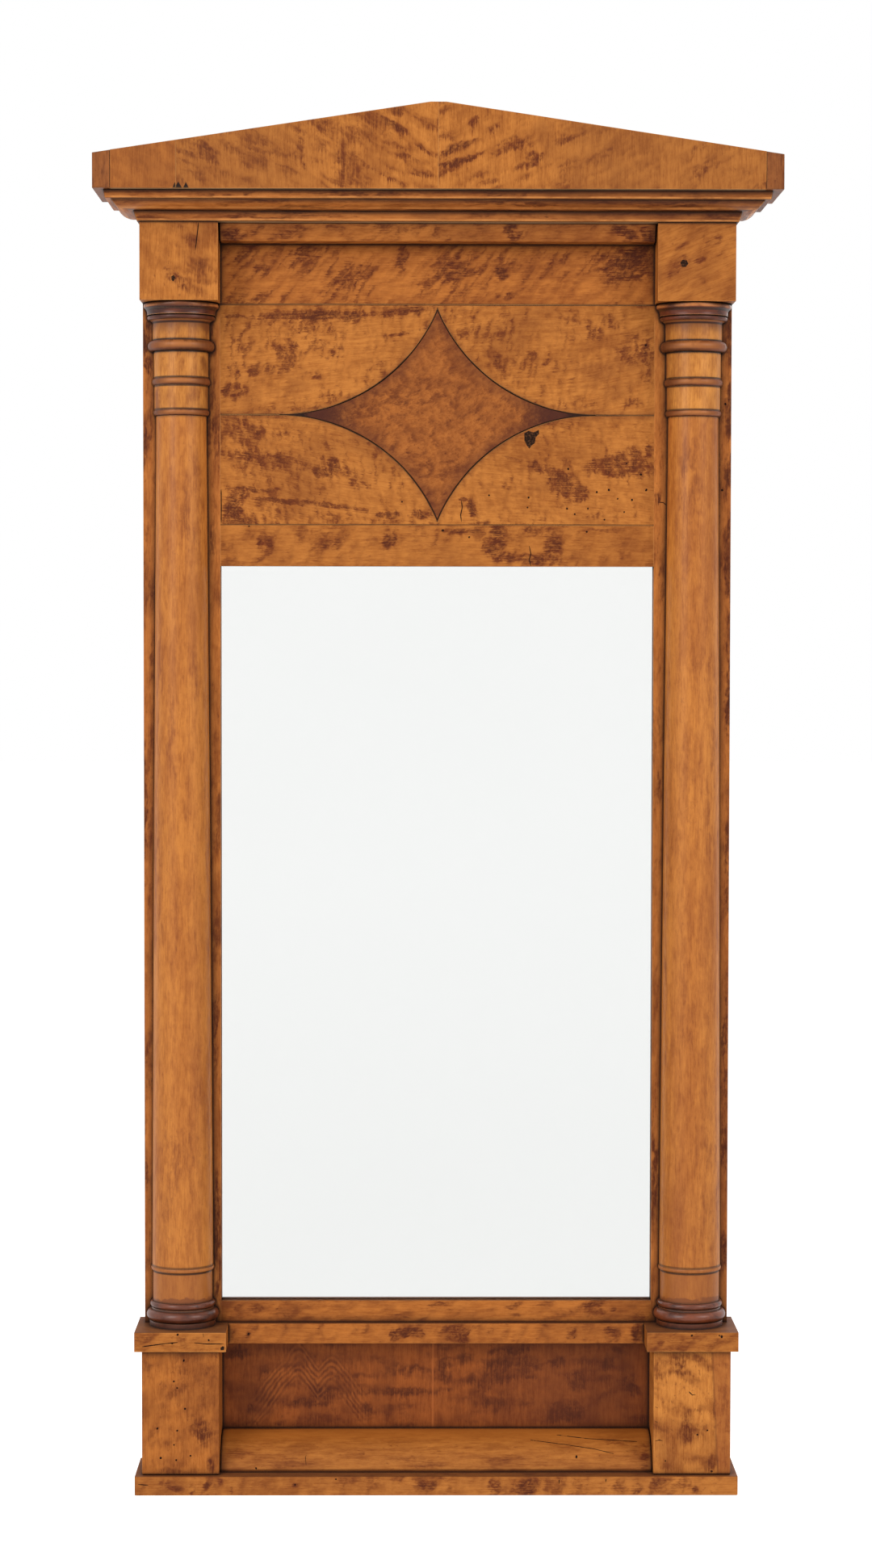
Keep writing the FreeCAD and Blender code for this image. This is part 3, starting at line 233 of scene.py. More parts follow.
    "pedestal_right": [
        (221, 121, 6.6, 6.6, 0.55), (214, 109, 14.7, 3, 0.4), (227, 60, 5.9, 13.3, 0.7, -5),
        (224, 63, 2.2, 4.4, 0.9), (217, 83, 8.8, 3.7, 0.4, 30), (240, 59, 6.6, 5.9, 0.35),
        (249, 28, 5.9, 6.7, 0.4), (262, 73, 2.2, 51.7, 0.45), (253, 66, 1.5, 44.3, 0.35),
        (234, 125, 10.3, 4.4, 0.35), (219, 25, 14.7, 4.4, 0.3)],
    "pedestal_cap_left": [
        (-263, 141, 7.3, 2.9, 0.3), (-219, 145, 10.2, 2.2, 0.25)],
    "pedestal_cap_right": [
        (204, 138, 3.7, 2.9, 0.6), (248, 141, 11.7, 2.9, 0.25)],
}
BLOT_FADE, BLOT_CORE = 1.6, 0.5


class Graph:
    """Builds nodes in a tree; each call gives back a socket."""

    def __init__(self, tree):
        self.tree = tree

    def node(self, kind, **settings):
        node = self.tree.nodes.new(kind)
        for key, value in settings.items():
            setattr(node, key, value)
        return node

    def feed(self, socket, value):
        if isinstance(value, bpy.types.NodeSocket):
            self.tree.links.new(value, socket)
        elif value is not None:
            socket.default_value = value

    def math(self, operation, a, b=None, clamp=False):
        node = self.node("ShaderNodeMath", operation=operation, use_clamp=clamp)
        for socket, value in zip(node.inputs, (a, b)):
            self.feed(socket, value)
        return node.outputs[0]

    def times(self, value, *others, clamp=False):
        for other in others:
            value = self.math("MULTIPLY", value, other, clamp=clamp)
        return value

    def total(self, *terms):
        """Sum of (value, weight) pairs."""
        result = None
        for value, weight in terms:
            value = self.times(value, weight)
            result = value if result is None else self.math("ADD", result, value)
        return result

    def size(self, value):
        return self.math("ABSOLUTE", value)

    def away(self, value, place):
        """How far a value lies from a place, on either side."""
        return self.size(self.math("SUBTRACT", value, place))

    def centred(self, noise):
        """Noise around 0 instead of 0.5."""
        return self.math("SUBTRACT", noise, 0.5)

    def vector(self, operation, a, b=None, scale=None):
        node = self.node("ShaderNodeVectorMath", operation=operation)
        self.feed(node.inputs[0], a)
        self.feed(node.inputs[1], b)
        if scale is not None:
            self.feed(node.inputs["Scale"], scale)
        return node.outputs["Value" if operation in ("LENGTH", "DOT_PRODUCT") else "Vector"]

    def turn(self, vector, degrees):
        """Turns a direction that rises by so many degrees to the right onto +X."""
        node = self.node("ShaderNodeVectorRotate", rotation_type="Y_AXIS")
        self.feed(node.inputs["Vector"], vector)
        node.inputs["Angle"].default_value = math.radians(degrees)
        return node.outputs[0]

    def noise(self, vector, scale, detail=2.0, roughness=0.5, output="Fac"):
        node = self.node("ShaderNodeTexNoise", noise_dimensions="3D")
        self.feed(node.inputs["Vector"], vector)
        node.inputs["Scale"].default_value = scale
        node.inputs["Detail"].default_value = detail
        node.inputs["Roughness"].default_value = roughness
        return node.outputs[output]

    def streaks(self, vector, stretch, scale, detail=2.0, roughness=0.5, shift=None):
        """Noise in streaks along X, which are longer the smaller the stretch is."""
        vector = self.vector("MULTIPLY", vector, (stretch, 1, 1))
        if shift:
            vector = self.vector("ADD", vector, shift)
        return self.noise(vector, scale, detail, roughness)

    def ramp(self, value, low, high, full=1.0, least=0.0):
        """Goes smoothly from least at low to full at high; low may be the greater."""
        node = self.node("ShaderNodeMapRange", interpolation_type="SMOOTHSTEP", clamp=True)
        self.feed(node.inputs["Value"], value)
        for key, place in (("From Min", low), ("From Max", high), ("To Min", least), ("To Max", full)):
            node.inputs[key].default_value = place
        return node.outputs[0]

    def mix(self, factor, a, b, blend="MIX"):
        node = self.node("ShaderNodeMix", data_type="RGBA", blend_type=blend, clamp_factor=True)
        self.feed(node.inputs["Factor"], factor)
        self.feed(node.inputs["A"], a)
        self.feed(node.inputs["B"], b)
        return node.outputs["Result"]

    def axes(self, vector):
        node = self.node("ShaderNodeSeparateXYZ")
        self.feed(node.inputs[0], vector)
        return tuple(node.outputs)

    def joined(self, *axes):
        node = self.node("ShaderNodeCombineXYZ")
        for socket, value in zip(node.inputs, axes):
            self.feed(socket, value)
        return node.outputs[0]


class Finish(Graph):
    """A material: the nodes around its Principled shader."""

    def __init__(self, name):
        self.material = bpy.data.materials.new(name)
        self.material.use_nodes = True
        super().__init__(self.material.node_tree)
        self.shader = self.tree.nodes["Principled BSDF"]

    def place(self):
        return self.node("ShaderNodeTexCoord").outputs["Object"]

    def normal(self):
        return self.node("ShaderNodeNewGeometry").outputs["Normal"]

    def open_sky(self, distance):
        """1 in the open, and less in a corner narrower than the distance."""
        node = self.node("ShaderNodeAmbientOcclusion", samples=6)
        node.inputs["Distance"].default_value = distance
        return node.outputs["AO"]

    def bend(self, radius):
        """1 on a flat face, and less within the radius of an arris."""
        node = self.node("ShaderNodeBevel", samples=4)
        node.inputs["Radius"].default_value = radius
        return self.vector("DOT_PRODUCT", node.outputs[0], self.normal())

    def bump(self, height, strength, distance):
        node = self.node("ShaderNodeBump")
        node.inputs["Strength"].default_value = strength
        node.inputs["Distance"].default_value = distance
        self.feed(node.inputs["Height"], height)
        self.feed(self.shader.inputs["Normal"], node.outputs[0])

    def surface(self, values):
        """Feeds the shader, and gives back the material."""
        for key, value in values.items():
            self.feed(self.shader.inputs[key], value)
        return self.material


class Wood(Finish):
    """Birch: fields that follow its fibres, and the colour that the layers tint.

    Noise scales are per metre. A ramp says where a tint sets in, where it is full, and how strong.
    """

    def __init__(self, name, grain, seed, mirrored, along_y, curl, burl):
        super().__init__(name)
        place = self.place()
        x, y, z = self.axes(place)
        self.x, self.z = x, z
        self.nx, self.ny, self.nz = self.axes(self.normal())
        if mirrored:
            # Both halves lean inwards, and 5 m between their patterns make them differ
            apart = self.times(self.math("GREATER_THAN", x, 0.0), 5.0)
            place = self.joined(self.math("ADD", self.size(x), apart), y, z)
        if along_y:
            place = self.joined(y, x, z)
        self.shifted = self.vector("ADD", place, (seed * 3.17, seed * 1.31, seed * 2.23))
        self.along = self.turn(self.shifted, grain)
        if curl:
            sway = self.times(self.streaks(self.along, 0.6, 8, 1), curl)
            self.along = self.vector("ADD", self.along, self.joined(0.0, 0.0, sway))
        self.fine = self.streaks(self.along, 0.07 * burl, 850, 3, 0.7)
        self.mid = self.streaks(self.along, 0.2 * burl, 290, 4, 0.75)
        self.mottle = self.streaks(self.along, 0.55, 170, 4, 0.75)
        self.patch = self.noise(self.shifted, 12, 3, 0.55)
        self.gather = self.noise(self.vector("ADD", self.shifted, (4.1, 2.2, 7.9)), 9)
        broad = self.streaks(self.along, 0.13 * burl, 34, 3, 0.6)
        self.tone = self.total((broad, 0.45), (self.mid, 0.2), (self.patch, 0.25), (self.mottle, 0.1))
        warp = self.noise(self.shifted, 45, 3, 0.6, output="Color")
        warp = self.vector("SUBTRACT", warp, (0.5, 0.5, 0.5))
        self.wx, self.wz = self.axes(warp)[::2]
        # Flames end in feathers along the fibres
        rise = math.radians(grain)
        reach = self.total((self.centred(self.mid), 0.006), (self.centred(self.fine), 0.007))
        plume = self.vector("SCALE", (math.cos(rise), 0.0, math.sin(rise)), scale=reach)
        self.plume = self.vector("ADD", plume, self.vector("SCALE", warp, scale=0.012))

    def tint(self, amount, colour, blend="MIX"):
        self.colour = self.mix(amount, self.colour, colour, blend)

    def black_line(self, value, place, fade, core, amount):
        """A black line at a place: full within the core and gone beyond the fade."""
        self.tint(self.ramp(self.away(value, place), fade, core, amount), NEAR_BLACK)


def clouds(g, blots):
    """Dark clouds at the listed places, but not on the sides; None without any."""
    cloud = None
    feathered = g.vector("ADD", g.joined(g.x, 0.0, g.z), g.plume)
    for x, z, wide, high, amount, *rise in blots:
        local = g.vector("SUBTRACT", feathered, (x * MM, 0, z * MM))
        local = g.turn(local, rise[0] if rise else 0)
        local = g.vector("MULTIPLY", local, (1 / (wide * MM), 0.0, 1 / (high * MM)))
        spot = g.ramp(g.vector("LENGTH", local), BLOT_FADE, BLOT_CORE, amount)
        cloud = spot if cloud is None else g.math("MAXIMUM", cloud, spot)
    return cloud if cloud is None else g.times(cloud, g.ramp(g.size(g.nx), 0.75, 0.35))


def ground(g, tones, figure, cloud, stain):
    """Light and deep wood with its flecks, then the dark flames and their blackest hearts."""
    degrees, width, stretch, cover, power = figure
    bent = g.turn(g.vector("ADD", g.shifted, g.plume), degrees)
    flames = g.streaks(bent, stretch, 1 / width, 3, 0.55)
    shade = g.total((g.tone, 1), (g.centred(flames), 0.55))
    g.colour = g.mix(g.ramp(shade, 0.34, 0.68), tones["light"], tones["deep"])
    fleck = g.total((g.fine, 0.5), (g.mid, 0.3), (g.mottle, 0.2))
    g.tint(g.ramp(fleck, 0.42, 0.64, 0.72), FLECK, "MULTIPLY")
    flames = g.math("ADD", g.times(flames, 1.35), -0.175)
    clump = g.streaks(g.along, 0.34, 36, 3, 0.55, shift=(1.7, 5.3, 3.1))
    level = g.total((flames, 1), (g.centred(g.gather), 0.5), (g.centred(clump), 0.95),
                    (g.centred(g.mottle), 0.22), (g.centred(g.fine), 0.14))
    if cloud is not None:
        level = g.total((level, 1), (cloud, 0.46))
        power = g.math("ADD", g.times(cloud, stain - power), power)
    start = 0.7 - 0.22 * cover
    g.dark = g.times(g.ramp(level, start - 0.1, start + 0.2), power)
    if cloud is not None:
        g.dark = g.math("ADD", g.dark, g.times(cloud, 0.24), clamp=True)
    grit = g.streaks(bent, 1.6 * stretch, 3.2 / width, 3, 0.7)
    streak = g.total((g.fine, 0.35), (g.mottle, 0.25), (grit, 0.4))
    streak = g.ramp(streak, 0.38, 0.6, 1.15, 0.18)
    g.tint(g.times(g.dark, streak, clamp=True), tones["flame"])
    heart = g.times(g.ramp(level, start + 0.14, start + 0.4, 0.6), streak)
    g.tint(g.times(heart, power), HEART)


def haze(g, flame, smoke, speck):
    """Smoky places and small dark specks in the stain."""
    smoky = g.streaks(g.along, 0.6, 21, 4, 0.6, shift=(7.7, 1.1, 4.4))
    g.tint(g.ramp(smoky, 0.48, 0.7, smoke), flame)
    if speck:
        crumbs = g.streaks(g.along, 0.55, 300, 3, 0.7)
        crumbs = g.total((crumbs, 1), (g.centred(g.gather), 0.3))
        g.tint(g.ramp(crumbs, 0.62, 0.74, speck), flame)


def rings(g, bands):
    """Turned rings stained dark, with a painted highlight along their crests, worn paler and painted as lit
    where they face forward and up, and a black line of patina and painted shade at each edge.
    """
    # Where the rings face forward and up they are worn paler, partly wear and partly painted highlight
    facing = g.times(g.ramp(g.size(g.nx), 0.66, 0.2), g.ramp(g.nz, -0.45, 0.1))
    worn = g.ramp(g.total((g.patch, 0.6), (g.mottle, 0.4)), 0.44, 0.54)
    rubbed_and_lit = g.times(facing, worn, 0.5)
    side = g.ramp(g.size(g.nx), 0.95, 0.35, 0.75, 0.15)
    for low, high in bands:
        # Painted highlight along each ring's crest, fading towards its sides
        crest = g.away(g.z, (low + high) / 2)
        crest = g.ramp(crest, 0.38 * (high - low), 0.12 * (high - low))
        ring = g.mix(g.ramp(g.tone, 0.4, 0.6), TURNED["light"], TURNED["deep"])
        ring = g.mix(g.times(crest, side), ring, CREST_HIGHLIGHT)
        ring = g.mix(rubbed_and_lit, ring, RUBBED_AND_LIT)
        above = g.ramp(g.z, low - 0.6 * MM, low + 0.4 * MM)
        below = g.ramp(g.z, high + 0.6 * MM, high - 0.4 * MM)
        g.tint(g.times(above, below, 0.92), ring)
        for edge in (low, high):
            g.black_line(g.z, edge, 1.3 * MM, 0.4 * MM, 0.8)


# Dark lines along joints; at the cornice's steps and under the pediment they are painted shadow
def seams(g, lines):
    for axis, spot, half, amount in lines:
        gap = g.away({"x": g.x, "z": g.z}[axis], spot)
        amount = g.ramp(g.patch, 0.3, 0.6, amount, 0.45 * amount)
        g.tint(g.times(g.ramp(gap, 1.6 * half, 0.5 * half), amount), NEAR_BLACK)


def age(g, wear, dust, rim):
    """Grime and painted shade in the corners, black painted shade in the tightest ones, worn arrises, dust
    and painted shade on upward faces, and raw wood behind.
    """
    sky = g.open_sky(9 * MM)
    # Grime and painted shade: darker where other surfaces close in within 9 mm, broken by noise
    shade_and_grime = g.total((sky, 1), (g.centred(g.patch), 0.45), (g.centred(g.mid), 0.25))
    g.tint(g.ramp(shade_and_grime, 0.88, 0.4, 0.9), GRIME_AND_SHADE)
    # Painted shade: near black in the tightest corners
    g.tint(g.ramp(g.open_sky((1.3 if rim else 2.5) * MM), 0.95, 0.72, 0.92), NEAR_BLACK)
    rub = g.times(g.ramp(g.bend(1.3 * MM), 0.995, 0.9), g.ramp(sky, 0.75, 0.97))
    g.tint(g.times(rub, g.ramp(g.patch, 0.38, 0.62, 1.0, 0.2), wear), WORN)
    # Dust and painted shade: upward faces darker
    lying = g.times(g.ramp(g.nz, 0.75, 0.98), g.ramp(g.patch, 0.2, 0.7, 1.0, 0.75))
    g.tint(g.times(lying, dust), DUST_AND_SHADE)
    raw = g.mix(g.ramp(g.tone, 0.35, 0.65), RAW, OLD_RAW)
    g.tint(g.ramp(g.ny, 0.8, 0.95, 0.85), raw)
    g.dull = g.total((g.mid, 0.22), (lying, 0.3), (g.ramp(shade_and_grime, 0.7, 0.4), 0.2))


def polish(g, gloss):
    """The shader's values, from waxed to polished."""
    relief = g.total((g.fine, 0.3), (g.mid, 0.45), (g.mottle, 0.25), (g.dark, -0.25))
    g.bump(relief, 0.3, 0.6 * MM)
    return g.surface({
        "Base Color": g.colour, "Roughness": g.math("ADD", g.dull, 0.36 - 0.12 * gloss),
        "IOR": 1.38, "Specular IOR Level": 0.2 + 0.35 * gloss,
        "Coat Weight": 0.03 + 0.22 * gloss, "Coat Roughness": 0.25, "Coat IOR": 1.4})


def wood(name, grain=0, seed=0.0, tones=HONEY, figure=None, blots=(), stain=0.94, bands=(), lines=(),
         mirrored=False, gloss=0.0, extra=None, curl=0.0, speck=0.5, wear=0.5, dust=0.8, rim=False,
         along_y=False, burl=1.0, smoke=0.38):
    """Stained and waxed birch, raw behind.

    grain: rise in degrees of the fibres. curl: how far they sway. burl: how short they are.
    figure: (rise, width in metres, stretch, cover 0..1, strength). stain: strength of the blots.
    bands: (low z, high z) stained dark. lines: (axis, place in metres, half width, strength).
    rim: the black painted shade keeps close to the corners. extra: a layer of the piece's own.
    """
    g = Wood(name, grain, seed, mirrored, along_y, curl, burl)
    cloud = clouds(g, blots)
    ground(g, tones, figure or (grain, 0.01, 0.4, 0.0, 0.8), cloud, stain)
    haze(g, tones["flame"], smoke, speck)
    if extra:
        extra(g)
    if bands:
        rings(g, bands)
    seams(g, lines)
    age(g, wear, dust, rim)
    return polish(g, gloss)


def iron(name, colour, rust):
    g = Finish(name)
    place = g.place()
    spots = g.noise(place, 420, 4, 0.65)
    tone = g.mix(g.ramp(spots, 0.35, 0.7), colour, rust)
    tone = g.mix(g.ramp(g.noise(place, 90), 0.4, 0.7, 0.7), tone, linear(58, 40, 30))
    tone = g.mix(g.ramp(g.bend(0.5 * MM), 0.99, 0.85, 0.5), tone, linear(138, 132, 126))
    g.bump(spots, 0.3, 0.3 * MM)
    return g.surface({"Base Color": tone, "Metallic": 0.75, "Roughness": g.ramp(spots, 0.3, 0.7, 0.7, 0.38)})


def pine(name, grain, seed):
    """Raw softwood, darkened with age: yearly lines and stains, with painted shade in its corners."""
    g = Finish(name)
    shifted = g.vector("ADD", g.place(), (seed * 2.7, seed * 0.9, seed * 3.9))
    along = g.turn(shifted, grain)
    rings = g.total((g.streaks(along, 0.03, 60, 1, 0.4), 1), (g.streaks(along, 0.3, 9), 0.7))
    lines = g.math("SINE", g.times(rings, 56))
    fine = g.streaks(along, 0.04, 900, 2, 0.6)
    mark = g.times(g.ramp(lines, -0.8, 1), g.ramp(fine, 0.25, 0.7, 0.45, 1))
    colour = g.mix(mark, linear(162, 130, 94), linear(132, 98, 64))
    colour = g.mix(g.ramp(g.noise(shifted, 13, 3, 0.6), 0.35, 0.75, 0.45), colour, linear(100, 73, 50))
    colour = g.mix(g.ramp(fine, 0.3, 0.75, 0.4), colour, (0.66, 0.58, 0.5, 1), "MULTIPLY")
    # Painted shade where other surfaces close in
    colour = g.mix(g.ramp(g.open_sky(10 * MM), 0.8, 0.3, 0.8), colour, linear(40, 28, 20))
    g.bump(g.total((fine, 1), (lines, 0.3)), 0.35, 0.6 * MM)
    return g.surface({"Base Color": colour, "Roughness": g.ramp(fine, 0.2, 0.8, 0.9, 0.7),
                      "Specular IOR Level": 0.2})


def plate_glass():
    return Finish("plate_glass").surface({
        "Base Color": (0.985, 0.99, 0.985, 1), "Roughness": 0.0, "IOR": 1.47, "Transmission Weight": 1.0})


def tin_silvering():
    """Bright metal behind the plate, a little greyer at the foot, with a painted back."""
    g = Finish("tin_silvering")
    place = g.place()
    y, z = g.axes(place)[1:]
    bright = g.mix(g.ramp(z, 0.6, 0.2), (0.942, 0.943, 0.942, 1), (0.905, 0.906, 0.902, 1))
    bright = g.mix(g.ramp(g.noise(place, 5), 0.3, 0.7, 0.3), bright, (0.925, 0.926, 0.923, 1))
    back = g.ramp(y, SILVER_FACE + 0.05 * MM, SILVER_FACE + 0.15 * MM)
    return g.surface({"Base Color": g.mix(back, bright, linear(96, 60, 48)),
                      "Metallic": g.math("SUBTRACT", 1.0, back), "Roughness": g.times(back, 0.7)})


FOOT_RING = (BASE_TOP + 27.4 * MM, BASE_TOP + 32.4 * MM)


def foot_stain(g):
    """Dark stain of the base runs up the shaft's foot, the drum below its ring is a deeper brown, and black
    lines of grime and painted shade lie at the ring's edges.
    """
    level = g.total((g.z, 1), (g.wz, 0.018), (g.mid, 0.004))
    g.tint(g.ramp(level, BASE_TOP + 6.9 * MM, BASE_TOP + 4.9 * MM, 0.9), linear(92, 44, 30))
    g.tint(g.ramp(g.z, FOOT_RING[1] + MM, FOOT_RING[1] - 2 * MM, 0.55), linear(146, 84, 40))
    # Grime and painted shade in the creases at the ring's edges
    for edge, amount in zip(FOOT_RING, (0.85, 0.6)):
        g.black_line(g.z, edge, 1.6 * MM, 0.5 * MM, amount)


# Arched figure of the panel: place and drop of each crown; gap, slope, squared rounding and sway of
# its lines
ARCHES = ((-0.1275, 0.0), (-0.0965, 0.01))
ARCH_STEP = 0.0062
ARCH_SLOPE = 1.35
ARCH_ROUND = 0.000014
ARCH_SWAY = 0.009
PANEL_JOINT = -0.0028


def arches(g):
    """Two arched figures in the panel, a darker right half and a pale joint at its middle."""
    hills = []
    for centre, drop in ARCHES:
        offset = g.math("ADD", g.math("SUBTRACT", g.x, centre), g.times(g.wx, ARCH_SWAY))
        flank = g.math("SQRT", g.math("ADD", g.times(offset, offset), ARCH_ROUND))
        hills.append(g.math("ADD", g.times(flank, ARCH_SLOPE), drop))
    level = g.total((g.z, 1), (g.math("MINIMUM", *hills), 1), (g.wz, 0.008))
    contour = g.math("SINE", g.times(level, 2 * math.pi / ARCH_STEP))
    window = g.times(g.ramp(g.x, -0.178, -0.155), g.ramp(g.x, -0.058, -0.08),
                     g.ramp(level, 0.092, 0.104), g.ramp(level, 0.136, 0.128),
                     g.ramp(g.total((g.mid, 0.5), (g.wx, 1)), 0.1, 0.34, 1.0, 0.35))
    g.tint(g.times(window, g.ramp(contour, -0.3, 0.95, 0.46)), linear(66, 29, 17))
    g.tint(g.times(window, g.ramp(contour, -0.1, -0.95, 0.16)), linear(172, 98, 46))
    g.tint(g.ramp(g.x, 0.02, 0.12, 0.35), SHADE)
    g.tint(g.ramp(g.away(g.x, PANEL_JOINT), 1.6 * MM, 0.0, 0.5), linear(176, 98, 46))


# The star's sides are arcs of one radius, and its side tips have a small half width
STAR_REACH = 0.1437
STAR_CURVE = 0.15586
TIP_HALF = 0.0003


def star_depth(g):
    """Distance inside the star's outline, below zero outside it."""
    across = g.math("MINIMUM", g.math("SUBTRACT", g.size(g.x), STAR_REACH), 0.0)
    up = g.math("SUBTRACT", g.away(g.z, LEAF_JOINT), STAR_CURVE + TIP_HALF)
    return g.math("SUBTRACT", g.vector("LENGTH", g.joined(across, up, 0.0)), STAR_CURVE)


def dark_tips(g):
    """The star's burl darkens towards its outline and its side tips."""
    depth = star_depth(g)
    inner = g.total((depth, 1), (g.wx, 0.004))
    g.tint(g.ramp(inner, 14 * MM, MM, 0.45), SHADE)
    out = g.total((g.size(g.x), 1), (g.mid, 0.03))
    g.tint(g.ramp(out, 0.08, 0.118, 0.9), linear(66, 29, 20))
    g.tint(g.ramp(out, 0.126, 0.142, 0.95), linear(20, 10, 7))
    edge = g.total((depth, 1), (g.wz, 0.001))
    g.tint(g.ramp(edge, 1.4 * MM, 0.4 * MM, 0.8), linear(44, 20, 11))


def star_seam(g):
    """A dark seam round the star and from its tips to the stiles."""
    edge = g.total((star_depth(g), 1), (g.wx, 0.0012))
    g.tint(g.ramp(edge, -6 * MM, -0.5 * MM, 0.3), SHADE)
    reach = g.ramp(g.size(g.x), 0.146, 0.175, 0.5, 0.95)
    g.tint(g.times(g.ramp(edge, -0.9 * MM, -0.2 * MM), reach), linear(36, 16, 9))


def mould_edges(g):
    """Each member of the cornice has painted shadow at its head, under the member above, and a foot worn
    bright and painted as lit; the right is darker.
    """
    g.tint(g.ramp(g.x, -0.1, 0.26, 0.35), linear(84, 42, 24))
    level = g.total((g.z, 1), (g.wz, 0.0015))
    for foot, head in CORNICE:
        # Painted shadow at each member's head
        shaded_head = g.ramp(level, head - 4.6 * MM, head - 1.2 * MM, 0.62)
        g.tint(g.times(shaded_head, g.math("LESS_THAN", g.z, head)), linear(62, 30, 17))
        # Painted highlight along each member's foot, partly wear
        rim = g.times(g.ramp(g.z, foot + 0.4 * MM, foot + 0.9 * MM),
                      g.ramp(level, foot + 2.6 * MM, foot + 1.4 * MM))
        g.tint(g.times(rim, g.ramp(g.wx, -0.16, 0.1, 0.85, 0.25)), linear(206, 134, 70))


# Lost chips of veneer: place, half width and height, in metres
VENEER_CHIPS = ((-0.2325, 0.0017, 0.0042), (-0.2296, 0.003, 0.0052), (-0.2228, 0.0024, 0.0046))


def veneer_chips(g):
    """The outer veneer is a shade deeper, and chips are lost at its foot beside the first joint."""
    out = g.total((g.size(g.x), 1), (g.wx, 0.05))
    g.tint(g.ramp(out, 0.06, 0.16, 0.3), linear(104, 58, 29))
    for centre, half, high in VENEER_CHIPS:
        across = g.math("DIVIDE", g.total((g.x, 1), (g.wx, 0.002), (-centre, 1)), half)
        up = g.math("DIVIDE", g.total((g.z, 1), (g.wz, 0.002), (-VENEER_FOOT - 0.5 * MM, 1)), high)
        g.tint(g.ramp(g.math("ADD", g.size(across), up), 1.1, 0.9), linear(30, 17, 11))


REPAIR_JOINT = 0.2565
REPAIR_LEAN = 0.05


def old_repair(g):
    """A redder strip down the right side of the pedestal, with a dark joint."""
    edge = g.total((g.x, 1), (g.z, REPAIR_LEAN), (g.wx, 0.003), (-REPAIR_JOINT, 1))
    g.tint(g.ramp(edge, -1.2 * MM, 1.2 * MM, 0.5), linear(150, 82, 38))
    g.tint(g.ramp(g.size(edge), 1.6 * MM, 0.4 * MM, 0.35), linear(84, 40, 20))


def inner_shade(g):
    """Painted shade on the neck's side towards the plate, and under the capital."""
    # About 1 where a normal looks at the plate, because the columns stand 0.23 m out
    inward = g.times(g.nx, g.times(g.x, -4.2))
    out = g.total((inward, 1), (g.wx, 0.8), (g.mid, 0.2))
    g.tint(g.ramp(out, 0.7, 1.05, 0.6), linear(96, 50, 24))
    level = g.total((g.z, 1), (g.wz, 0.014))
    g.tint(g.ramp(level, CAPITAL_FOOT - 16.5 * MM, CAPITAL_FOOT - 1.5 * MM, 0.8), linear(96, 50, 27))


def worn_crown(g):
    """The capital's top fillet is worn paler in places, over a black line."""
    level = g.total((g.z, 1), (g.wz, 0.002))
    crown = g.ramp(level, CAPITAL_TOP - 4.8 * MM, CAPITAL_TOP - 3.5 * MM)
    g.tint(g.times(crown, g.ramp(g.wx, -0.1, 0.08, 0.85, 0.15)), linear(186, 114, 58))
    g.black_line(g.z, CAPITAL_TOP - 6.1 * MM, 1.6 * MM, 0.5 * MM, 0.8)


def amber_top(g):
    """The base moulding is a deeper amber at its top and darker at its foot, from grime and painted shade."""
    g.tint(g.ramp(g.z, MOULDING_TOP - 9 * MM, MOULDING_TOP - MM, 0.7), linear(166, 95, 32))
    g.tint(g.ramp(g.z, MOULDING_FOOT + 4.3 * MM, MOULDING_FOOT + 0.3 * MM, 0.6), linear(104, 52, 24))


def dress(names, material):
    for name in names:
        mesh = NODES[name].data
        mesh.materials.clear()
        mesh.materials.append(material)


def birch(names, look, grain, seed, **finish):
    """Dresses pieces in wood, with the blots of the first one."""
    dress(names, wood(look, grain, seed, blots=BLOTS.get(names[0], ()), **finish))


# Pediment and cornice
birch(["pediment_veneer_left", "pediment_veneer_right"], "veneer_centre", 90, 1, tones=GOLD,
      mirrored=True, figure=(26, 0.0075, 0.26, 0.2, 0.8), extra=veneer_chips,
      lines=[("x", VENEER_JOINT, 0.0003, 0.5), ("x", 0.0, 0.0002, 0.3)])
birch(["pediment_veneer_end"], "veneer_end", 90, 2, tones=DEEP, figure=(-30, 0.01, 0.3, 0.32, 0.55),
      extra=veneer_chips, lines=[("x", VENEER_JOINT, 0.0003, 0.5)])
birch(["pediment_side_left", "pediment_side_right"], "pediment_side", 90, 3, tones=RUST)
# Black lines at the cornice's steps and under the pediment: painted shadow
CORNICE_LINES = [("z", CORNICE[0][0], 0.0004, 0.9), ("z", CORNICE[1][0], 0.0004, 0.6),
                 ("z", CORNICE[2][0], 0.0004, 0.6), ("z", VENEER_FOOT, 0.0004, 0.7)]
for look, seed, sides, more in (("cornice_front", 4.0, ["front"], {"lines": CORNICE_LINES}),
                                ("cornice_return", 4.5, ["left", "right"], {"along_y": True})):
    names = [start + side for start in ("bed_fascia_", "ovolo_", "crown_fillet_") for side in sides]
    birch(names, look, 0, seed, tones=MOULD, extra=mould_edges, figure=(1, 0.006, 0.07, 0.5, 0.85),
          wear=1.0, **more)

# Frieze and star panel
birch(["frieze_strip"], "frieze_strip_wood", 0, 5, tones=DEEP, figure=(42, 0.009, 0.4, 0.3, 0.7))
birch(["frieze_board"], "frieze_wood", 0, 6, tones=DEEP, figure=(50, 0.0056, 0.2, 0.38, 0.8),
      lines=[("z", PANEL_TOP, 0.0007, 1)])
birch(["corner_block_left"], "block_left_wood", 88, 7, tones=GOLD, figure=(-20, 0.012, 0.4, 0.2, 0.5))
birch(["corner_block_right"], "block_right_wood", 20, 8, curl=0.03, figure=(60, 0.012, 0.4, 0.28, 0.5))
birch(["panel_leaf_upper"], "leaf_upper_wood", 4, 9, tones=GOLD, curl=0.035, extra=star_seam,
      figure=(82, 0.0052, 0.34, 0.27, 0.9), lines=[("z", LEAF_JOINT, 0.0005, 1), ("z", PANEL_TOP, 0.0009, 1)])
